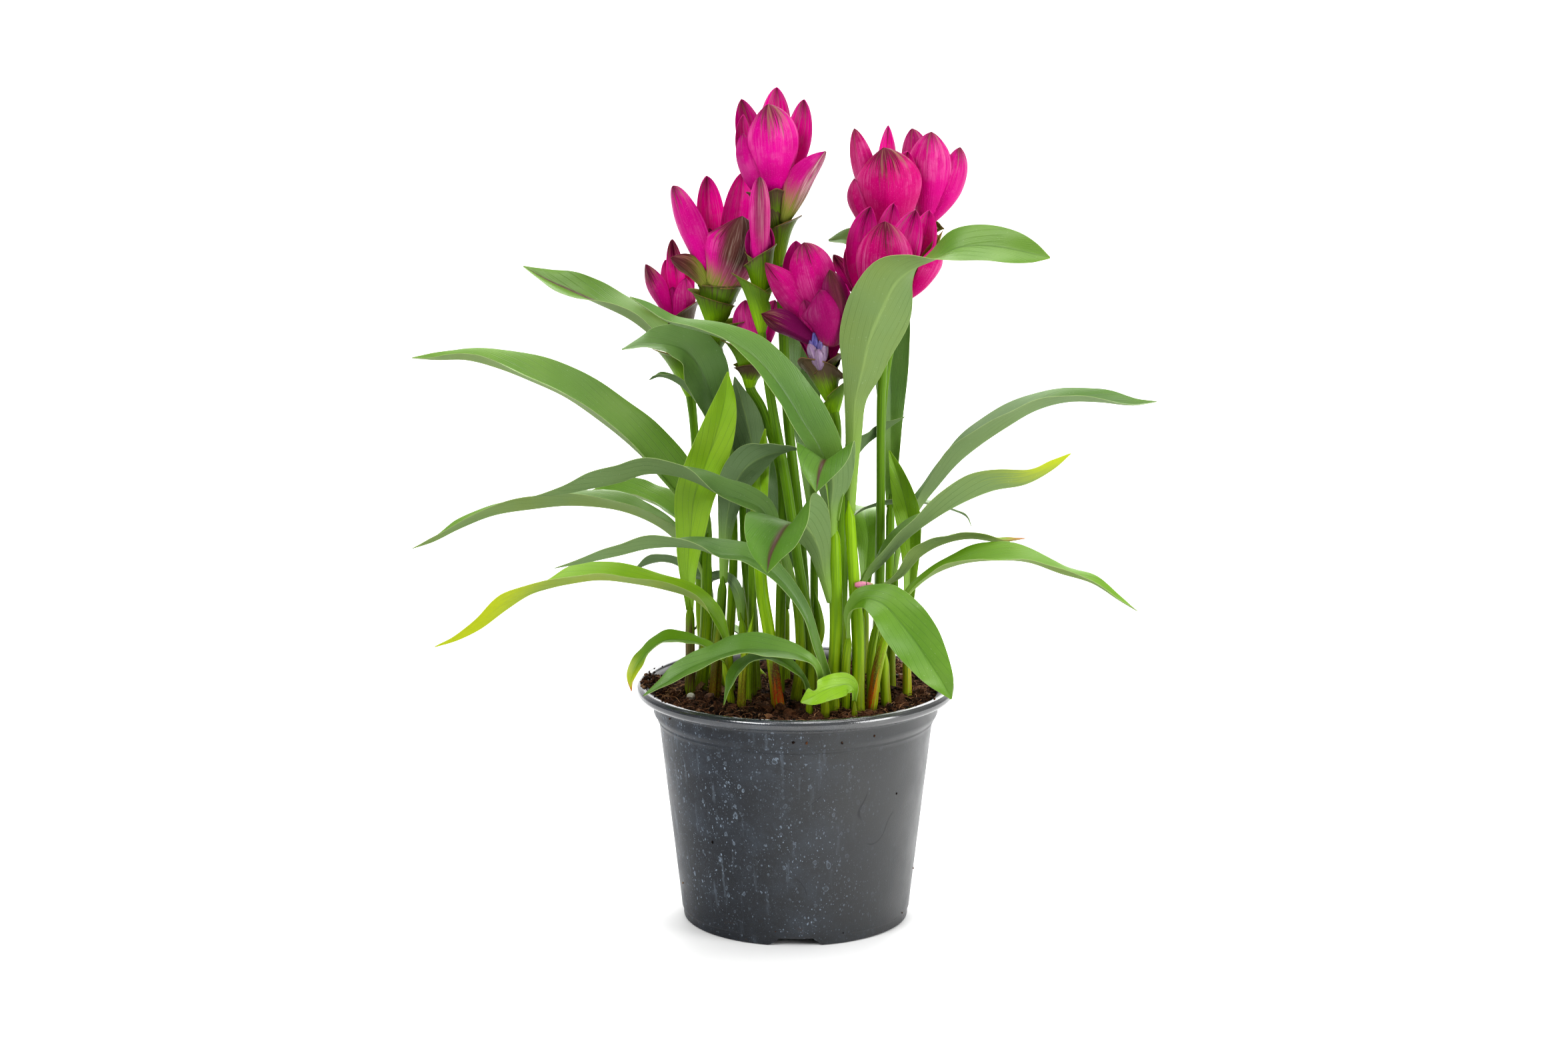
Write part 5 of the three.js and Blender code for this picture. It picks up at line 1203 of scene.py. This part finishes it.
skin = layers(mix(warm, "c40084", "b40062"),
              (fade(noise(spot, 60, 2), 0.4, 0.65, 0.0, 0.5), mix(warm, "ae006e", "a80056")),
              # Painted light: a sail's inner face gets a brighter magenta, for light shining through the thin
              # bract.
              (upper * 0.75, "f204a4"), (fade(lines, 0.5, 0.34, 0.0, 0.24) * high, "8a0258"),
              (fade(lines, 0.54, 0.68, 0.0, 0.13) * high, "d8509a"),
              (fade(cells, 0.6, 0.72, 0.0, 0.26), "e878b8"), (dusty, "cf6a9c"),
              # The shade value is painted shade: a dark wine colour over sails that stand in the crown's
              # shade.
              (pale, mix(banded, "bc3c7c", "d987ac")), (value_of(tree, "shade") * 0.62, "4c0838"),
              (greening, mix(banded, "6c861c", "8c9c3c")),
              (brown, mix(fade(coarse, 0.44, 0.62), "43171b", "82604a")),
              (ribbed, mix(coarse, "38181c", "6a4238")), (silver, mix(blotched, "6a4a44", "b4a698")),
              (fade(q, 0.965, 0.995, 0.0, 0.4), "8c3a50"))
coat(sail_skin, skin, fade(lines, 0.35, 0.65, 0.34, 0.48), fade(upper, 0, 1, 0.07, 0.03),
     bump(lines + cells * 0.35, 0.0004, 0.7))

pouch_skin, tree, spot = material_of("green_bract")
uv, q, t = blade_place(tree)
lines, coarse = streaks(uv, 70, 1.8, spot), streaks(uv, 22, 1.4, spot)
inner = value_of(tree, "upper")
upwards = t + (lines - 0.5) * 0.8 + (coarse - 0.5) * 0.5
brown = fade(upwards + value_of(tree, "brown") * 0.45, 0.85, 1.3)
# Painted shade: a pouch's inner face gets a dull darker olive, for the shade inside its funnel.
skin = layers(mix(fade(t, 0.15, 0.8), "84ae08", "5c7a16"), (fade(lines, 0.42, 0.6, 0.0, 0.38), "44661a"),
              (brown * 0.8, "55303a"), (inner * 0.55, "5f5a22"),
              (fade(calc("MAXIMUM", q, t), 0.98, 0.997, 0.0, 0.5), "84643c"))
coat(pouch_skin, skin, fade(inner, 0, 1, 0.4, 0.75), fade(inner, 0, 1, 0.16, 0.02),
     bump(lines, 0.0004, 0.7))

# Each sail of a crown is [u, v, d, width, bulge] at its tip, then how brown its tip, how green its foot,
# how deep the painted shade on it is, and how pale it is. Each pouch among the cups is [u, v, d, width,
# seat, brown]. Either may end with what is its own. A stalk's rows are [u, v, d, radius].
HEADS = {
    "top": {
        "foot": [7, -8], "high": [-15, 431, 4],
        "stalk": [[6, 173, -8, 3.3], [4, 213, -4, 3.1], [1, 249, 0, 3], [-5, 305, 3, 3], [-9, 381, 4, 3]],
        "crown": [
            [-16, 486, -8, 36, 8, 0.85, 0, 0, 0.5, {"peak": 0.6, "sharp": 0.58, "bend": 2.5}],
            [-32, 489, 10, 20, 6, 0.7, 0, 0.35, 0.1], [-31, 480, 6, 15, 8, 0.1, 0, 0, 0.7, {"bend": -3}],
            [5, 489, 8, 21, 6, 0.55, 0, 0, 0.9, {"bend": 3}], [-11, 496, 18, 23, 6, 0.35, 0, 0, 1.0],
            [-31, 469, 0, 17, 7, 0.3, 0, 0.4, 0, {"bend": -2}],
            [18, 459, -8, 23, 2, 0.5, 0.45, 0.3, 0.1,
             {"foot": [-6, 417, -2], "bend": -1.5, "silver": 1, "sharp": 0.95, "crease": 0.3, "peak": 0.5}]],
        "cups": [
            [2, 423, -4, 40, 0.2, 0.5], [-28, 437, -4, 42, 0.45, 1.5, {"sink": 0.15}],
            [-12, 439, -9, 30, 0.5, 0.9], [-6, 428, 15, 30, 0.5, 0.5]],
    },
    "left": {
        "foot": [-24, -4], "sunk": 8, "high": [-44, 382, 18],
        "stalk": [
            [-26, 185, 3, 3.2], [-29, 209, 10, 3.1], [-32, 265, 22, 3.1], [-44, 333, 23, 3.2],
            [-48, 357, 20, 3.2]],
        "crown": [
            [-72, 439, 12, 23, 3, 0.6, 0, 0, 0.3, {"foot": [-50, 384, 14], "sharp": 0.55, "peak": 0.52}],
            [-52, 445, 26, 21, 4, 0.6, 0, 0.1, 0.8], [-31, 447, 24, 24, 4, 0.4, 0, 0, 0.5, {"bend": 3}],
            [-31, 421, 2, 46, 8, 1.2, 0.3, 0.1, 0,
             {"foot": [-46, 377, 8], "bend": 2.5, "rib": 1, "silver": 0.5, "sharp": 0.5, "crease": 0.3}],
            [-74, 397, 10, 17, 1, 1.9, 0.8, 0.3, 0,
             {"foot": [-50, 376, 12], "sharp": 0.8, "crease": 0.2, "bend": 2, "rib": 0.6}],
            [-19, 409, 14, 22, 4, 0.5, 0, 0, 0.8,
             {"foot": [-36, 384, 14], "bend": 3, "silver": 0.8, "rib": 0.6}]],
        "cups": [
            [-24, 363, 12, 40, -1.0, 0.1], [-35, 382, 6, 56, -0.1, 0.4, {"wrap": 11.5, "sink": 0.2}],
            [-62, 379, 12, 50, -0.1, 0.4, {"wrap": 11.5, "sink": 0.2}], [-46, 384, 34, 34, 0.2, 0.3]],
    },
    "far_left": {
        "foot": [-52, 36], "sunk": 6, "high": [-68, 353, 64],
        "stalk": [
            [-56, 173, 42, 2.9], [-57, 213, 51, 2.8], [-58, 257, 58, 2.6], [-60, 297, 62, 2.6],
            [-62, 316, 64, 3]],
        "crown": [
            [-88, 393, 60, 15, 3, 1.2, 0, 0, 0.1, {"sharp": 0.75, "crease": 0.2, "foot": [-72, 360, 61]}],
            [-72, 408, 66, 13, 3, 1.3, 0, 0, 0.3, {"sharp": 0.6, "crease": 0.2, "foot": [-67, 358, 62]}],
            [-62, 398, 68, 12, 3, 0.3, 0, 0, 0.5], [-64, 385, 58, 17, 3, 0.3, 0, 0.2, 0.3],
            [-76, 396, 76, 14, 3, 0.4, 0, 0.3, 0.2]],
        "cups": [
            [-57, 374, 56, 34, 0.55, 1.8], [-74, 366, 58, 34, 0.4, 1.0], [-84, 345, 58, 34, -0.05, 0.2],
            [-54, 344, 74, 34, 0.1, 0.3]],
    },
    "bud": {
        "foot": [9, -22], "high": [-21, 388, -14],
        "stalk": [
            [8, 173, -18, 3.3], [1, 217, -15, 3], [-6, 265, -14, 3], [-14, 309, -14, 2.8],
            [-20, 353, -14, 2.4]],
        "crown": [
            [-21, 444, -18, 15, 2, 0.7, 0, 0, 1.6,
             {"foot": [-21, 390, -19], "rib": 0.5, "silver": 0.3, "sharp": 0.5, "crease": 0.3}],
            [-18, 436, -8, 9, 1, 0.8, 0, 0.2, 0.5], [-23, 434, -9, 9, 1, 0.8, 0, 0.2, 0.5]],
        "cups": [
            [-37, 390, -18, 34, 0.0, 0.1], [-12, 407, -17, 42, 0.5, 0.45, {"wrap": 8}],
            [-11, 393, -8, 26, 0.4, 0.2], [-29, 402, -14, 30, 0.55, 0.5]],
    },
    "middle": {
        "foot": [-10, -10], "high": [-26, 337, 13],
        "stalk": [
            [-9, 193, -4, 3], [-8, 233, 4, 2.8], [-9, 269, 8, 2.8], [-20, 308, 12, 2.8], [-27, 321, 13, 3]],
        "crown": [
            [-30, 372, 9, 22, 4, 0.5, 0, 0.2, 0.2], [-12, 372, 13, 18, 4, 0.6, 0, 0.2, 0.2],
            [-21, 370, 23, 20, 4, 0.4, 0, 0.3, 0.2], [-17, 348, 4, 18, 4, 0.2, 0, 0.5, 0]],
        "cups": [[-43, 350, 6, 34, -0.1, 0.2], [-18, 336, 2, 34, 0.1, 1.6], [-22, 340, 25, 30, 0.2, 0.5]],
    },
    "right": {
        "foot": [49, -15], "warm": 0.7, "sunk": 4, "high": [51, 364, -23],
        "stalk": [
            [49, 173, -10, 2.9], [50, 209, -10, 2.7], [50, 257, -14, 2.6], [50, 313, -20, 2.6],
            [51, 341, -23, 3]],
        "crown": [
            [52, 418, -35, 40, 9, 0.75, 0, 0, 0.35, {"sharp": 0.54}],
            [43, 427, -19, 25, 7, 0.6, 0, 0.3, 0, {"bend": -7}],
            [57, 429, -9, 20, 6, 0.4, 0, 0.1, 0.3, {"bend": -2}],
            [70, 425, -21, 26, 6, 0.5, 0, 0, 1.0, {"bend": -1}],
            [78, 425, -13, 23, 6, 0.35, 0, 0, 0.7, {"bend": 3}],
            [84, 405, -25, 18, 4, 0.6, 0, 0, 0.1, {"foot": [66, 374, -24], "bend": 2}],
            [29, 404, -14, 14, 4, 0.1, 0, 0, 0.9, {"bend": -2}],
            [86, 413, -15, 8, 2, 0.3, 1.2, 0, 0, {"sharp": 1.0}], [21, 399, -8, 13, 3, 1, 0, 0.6, 0]],
        "cups": [[40, 372, -33, 36, 0.1, 0.5], [62, 371, -31, 36, 0.3, 0.5], [51, 373, -10, 36, 0.4, 0.5]],
    },
    "upper_right": {
        "foot": [27, -32], "warm": 0.75, "sunk": 6, "high": [53, 413, 14],
        "stalk": [
            [27, 173, -28, 3.1], [28, 213, -25, 3], [28, 249, -18, 2.8], [38, 329, 8, 2.8],
            [51, 388, 14, 3]],
        "crown": [
            [51, 461, 0, 49, 10, 0.9, 0, 0, 0.2, {"bend": 2, "sharp": 0.52, "cup": 1.1}],
            [33, 472, 12, 18, 5, 0.5, 0, 0.1, 0.3], [33, 443, 8, 16, 6, 0.2, 0, 0.3, 0, {"bend": -3}],
            [53, 474, 26, 14, 5, 0.4, 0, 0, 0.7, {"sharp": 0.7}], [65, 459, 24, 24, 6, 0.4, 0, 0.2, 0.3]],
        "cups": [[42, 411, 5, 34, 0.1, 0.5], [61, 411, 8, 34, 0.3, 0.5], [53, 413, 30, 34, 0.4, 0.5]],
    },
    "back_right": {
        "foot": [47, 8], "warm": 0.3, "sunk": 3, "high": [76, 421, 38],
        "stalk": [
            [49, 193, 14, 2.8], [50, 249, 20, 2.7], [51, 313, 29, 2.7], [57, 353, 34, 2.8],
            [74, 398, 38, 3]],
        "crown": [
            [67, 472, 34, 24, 5, 0.5, 0, 0.2, 0.3], [78, 470, 26, 32, 7, 0.55, 0, 0, 0.9],
            [95, 461, 36, 22, 6, 0.6, 0, 0, 0.7, {"bend": 3}], [80, 469, 52, 24, 6, 0.4, 0, 0.3, 0.2],
            [89, 452, 50, 20, 5, 0.4, 0, 0.3, 0.2]],
        "cups": [[67, 418, 30, 32, 0.1, 0.5], [79, 416, 31, 28, 0.3, 0.5], [76, 421, 50, 30, 0.4, 0.5]],
    },
}
FRONT_HEAD = {
    "warm": 0.45, "sunk": 5, "high": [15, 337, -34],
    "stalk": [[22, 235, -49, 3], [22, 257, -47, 2.9], [24, 297, -39, 2.7], [21, 312, -36, 3.1]],
    "crown": [
        [-18, 394, -38, 24, 2, 0.6, 0, 0.45, 0.2,
         {"foot": [17, 350, -37], "sharp": 0.85, "peak": 0.5, "hook": 0.5}],
        [5, 406, -38, 32, 6, 0.6, 0, 0.35, 0, {"foot": [19, 352, -36], "peak": 0.6, "sharp": 0.5}],
        [0, 407, -24, 26, 4, 0.3, 0.1, 0.8, 0, {"bend": -3}],
        [20, 390, -50, 18, 3, 0.7, 0, 1.2, 0,
         {"foot": [30, 356, -48], "rib": 0.7, "crease": 0.35, "sharp": 0.75}],
        [14, 378, -50, 36, 5, 0.1, 0, 1.0, 0.2, {"foot": [19, 345, -47], "sharp": 0.62, "bend": 3}],
        [29, 382, -26, 22, 4, 0.3, 0, 0.6, 0],
        [-21, 364, -46, 18, 1, 1.0, 0, 1.45, 0,
         {"foot": [17, 344, -43], "sharp": 0.95, "peak": 0.62, "crease": 0.25}]],
    "cups": [
        [3, 340, -46, 40, -0.1, 1.3, {"sink": 0.55}], [28, 343, -42, 30, 0.5, 1.2, {"sink": 0.6}],
        [19, 342, -18, 34, 0.3, 0.5], [30, 326, -42, 22, -0.3, 0.0]],
}

for name, head in HEADS.items():
    stalk = false_stem(head["foot"], stalk_rows(head), seam=1.0, young=0.35, blush=0.35, taper=0)
    flower_head(name, head, [stalk], "stalk_" + name)

# The stout shoot in front of the middle: living sheaths rolled round one another into a thick false stem.
# Its four blades open out of the sheaths, and the stalk of the front flower head grows up through them.
LEADER = {
    "foot": [21, -52], "stem": [[24, 173, -52, 3.9], [23, 213, -51, 3.9], [22, 241, -50, 3.6]],
    "leaves": [{"fold": 25, "dark": 0.0, "grey": 0.3, "rows": [
        [20, 138, -55, 7, 20], [17, 149, -60, 7, 25], [12, 164, -63, 8, 25], [6, 183, -64, 9, 30],
        [-4, 199, -64, 11, 35], [-17, 212, -64, 14, 42], [-31, 219, -65, 18, 48], [-45, 220, -66, 23, 55],
        [-59, 224, -68, 24, 72], [-73, 225, -70, 25, 96], [-88, 224, -72, 26, 106],
        [-104, 220, -74, 20, 106], [-122, 216, -76, 11, 102], [-143, 212, -78, 1, 98],
    ]}, {"fold": 32, "across": [-1, 0, -0.3], "dark": 0.9, "grey": 0.05, "rows": [
        [21, 191, -54, 7, 0], [17, 208, -57, 11, 0], [13, 226, -61, 20, 0], [5, 238, -67, 38, 0],
        [-4, 238, -76, 48, 0], [-10, 231, -85, 44, 0], [-15, 220, -93, 28, 0], [-17, 209, -99, 1, 0],
    ]}, {"fold": 34, "across": FORWARD, "dark": 0.9, "grey": 0.1, "rows": [
        [21, 229, -53, 8, 0], [21, 249, -56, 12, 0], [22, 263, -59, 25, 0], [20, 274, -65, 35, 0],
        [17, 277, -74, 38, 0], [14, 270, -83, 28, 0], [12, 258, -90, 1, 0],
    ]}, {"fold": 34, "phase": 0.6, "dark": 0.1, "grey": 0.25, "rows": [
        [22, 241, -52, 8, 20], [21, 267, -53, 16, 25], [13, 286, -53, 26, 32], [4, 300, -53, 32, 36],
        [-4, 313, -53, 32, 38], [-13, 326, -54, 28, 40], [-24, 338, -55, 24, 44], [-39, 348, -57, 20, 52],
        [-56, 354, -60, 17, 62], [-74, 359, -63, 13, 68], [-87, 367, -66, 9, 68], [-97, 374, -68, 1, 68],
    ]}],
}
leader_parts = [false_stem(LEADER["foot"], LEADER["stem"], seam=0.5, young=0.75, blush=0.3)]
leader_parts += [dict(leaf(**blade, young=0.05), slot=2) for blade in LEADER["leaves"]]
rows = np.array(stalk_rows(FRONT_HEAD))
line = through(front(rows[:, :3]), 50)
leader_parts.append(tube(line, through(rows[:, [3, 3]], 50)[:, 0], young=0.5))
flower_head("front", FRONT_HEAD, leader_parts, "shoot_leader")

# The one open flower: thin wet petals that look out of a pouch of the front head, in which they are rooted.
# Its violet hood is a short tube that swells, with two lobes beside it and three pale petals in front.
petal_skin, tree, spot = material_of("violet_petal")
hooded = value_of(tree, "hood")
veined = fade(streaks(node("TexCoord", {}, "UV", tree), 9, 1.2, spot), 0.42, 0.66, 0.0, 0.6)
skin = mix(veined, mix(hooded, "8a7486", "3a3476"), mix(hooded, "6e4a78", "7c76b8"))
coat(petal_skin, skin, 0.25, normal=bump(noise(spot, 900, 2), 0.0005, 0.8))
throat, mouth = front([[14, 327, -41], [10.5, 353, -45]])
axis = unit(mouth - throat)
line = throat + (mouth - throat) * np.linspace(0, 1, 30)[:, None]
girth = through([[1.5], [1.5], [1.6], [2.1], [2.3], [0.7]], 30, 0)[:, 0]
hood = tube(line, girth, slot=0, hood=1)
lobes = [sail(throat, axis, row, foot=[13, 338, -44], cup=1.3, hood=0.75)
         for row in ([15.5, 350, -47, 5, 1.5], [8, 348, -46, 5, 1.5])]
petals = [sail(throat, axis, row, foot=[14, 331, -45], cup=1.1, hood=0.1)
          for row in ([7.5, 346, -48, 8, 1.5], [17.5, 347, -47, 8, 1.5], [13, 343, -50, 7, 1.5])]
piece("open_flower", [hood, *lobes, *petals], [petal_skin], "petal", ["flower"])

# The spent bud: a dry and shrivelled pink flower bud with a green end, caught beside a sheath.
# It is a short tube, thickest before its middle.
bud_skin, _, spot = material_of("spent_bud")
skin = layers(mix(noise(spot, 400, 3), "b8466f", "e0a3b8"),
              (fade(node("SeparateXYZ", {0: spot}), 0.041, 0.045), "9aa64a"))
coat(bud_skin, skin, 0.55, normal=bump(noise(spot, 700, 3), 0.0004, 0.8))
line = through(front([[35, 202, -55.4], [40, 202, -55], [46, 202, -55]]), 26)
girth = through([[1.2], [2.0], [1.7], [0.9]], 26, 0)[:, 0]
piece("spent_bud_tube", [tube(line, girth, slot=0)], [bud_skin], "dry_bud", ["spent_bud"])

# The studio: a pale seamless floor that turns up into a backdrop, with broad soft lamps round the plant. The
# camera is two metres in front of the pot and a little higher than the plant, as fitted to the photograph.
FOCAL_LENGTH = 79.2
SENSOR_WIDTH = 36
CAMERA_TILT = 11.40
SWEEP_FRONT = -5000
SWEEP_DEPTH = 2600
SWEEP_HEIGHT = 6000
SWEEP_RADIUS = 1500
SWEEP_HALF_WIDTH = 6000
WORLD_LIGHT = 0.42
# Each lamp's name, place in metres, size and power, and then the point that all of them are aimed at.
LAMPS = (("key", (-1.1, -1.5, 1.7), 0.9, 26), ("fill", (1.7, -1.0, 0.7), 1.0, 24),
         ("top", (0.2, 0.2, 2.2), 1.6, 30), ("rear", (0.2, 1.7, 1.5), 1.5, 24))
LAMP_AIM = np.array([0, 0, 0.25])


def studio_sweep():
    """The floor and backdrop in one: a flat run that turns up in a quarter round and goes on as a wall."""
    turn = np.linspace(0, np.pi / 2, 25)
    curve, last = SWEEP_DEPTH + SWEEP_RADIUS * np.sin(turn), SWEEP_DEPTH + SWEEP_RADIUS
    run = np.concatenate([[SWEEP_FRONT, 0], curve, [last]])
    rise = np.concatenate([[0, 0], SWEEP_RADIUS * (1 - np.cos(turn)), [SWEEP_HEIGHT]])
    side = np.linspace(-SWEEP_HALF_WIDTH, SWEEP_HALF_WIDTH, 3)
    return part(grid(side[None], run[:, None], rise[:, None] - 0.2), flipped([weave(len(run), 3)]))


def softbox(name, place, turn, size, power):
    """A square area light, at its place and turned by its Euler angles."""
    lamp = bpy.data.lights.new(name, "AREA")
    lamp.size = size
    lamp.energy = power
    made = bpy.data.objects.new(name, lamp)
    bpy.context.scene.collection.objects.link(made)
    made.location = place
    made.rotation_euler = turn


floor_paint = material_of("pale_floor")[0]
coat(floor_paint, colour("f2f2f2"), 0.9, 0.1)
floor = piece("floor", [studio_sweep()], [floor_paint], None)
world = bpy.data.worlds.new("studio")
world.use_nodes = True
feed(world.node_tree.nodes["Background"], {"Color": (1, 1, 1, 1), "Strength": WORLD_LIGHT})
bpy.context.scene.world = world
bpy.context.scene.view_settings.view_transform = "Standard"
bpy.context.scene.view_settings.look = "Medium High Contrast"
for name, place, size, power in LAMPS:
    x, y, z = LAMP_AIM - np.array(place)
    softbox(name, place, (np.pi / 2 + np.arctan2(z, np.hypot(x, y)), 0, np.arctan2(-x, y)), size, power)
softbox("backdrop", (0, 1.6, 3.6), (np.radians(60), 0, 0), 4, 170)
lens = bpy.data.cameras.new("camera")
lens.lens = FOCAL_LENGTH
lens.sensor_width = SENSOR_WIDTH
camera = bpy.data.objects.new("camera", lens)
bpy.context.scene.collection.objects.link(camera)
camera.location = EYE * MM
camera.rotation_euler = (np.pi / 2 - np.radians(CAMERA_TILT), 0, 0)
bpy.context.scene.camera = camera
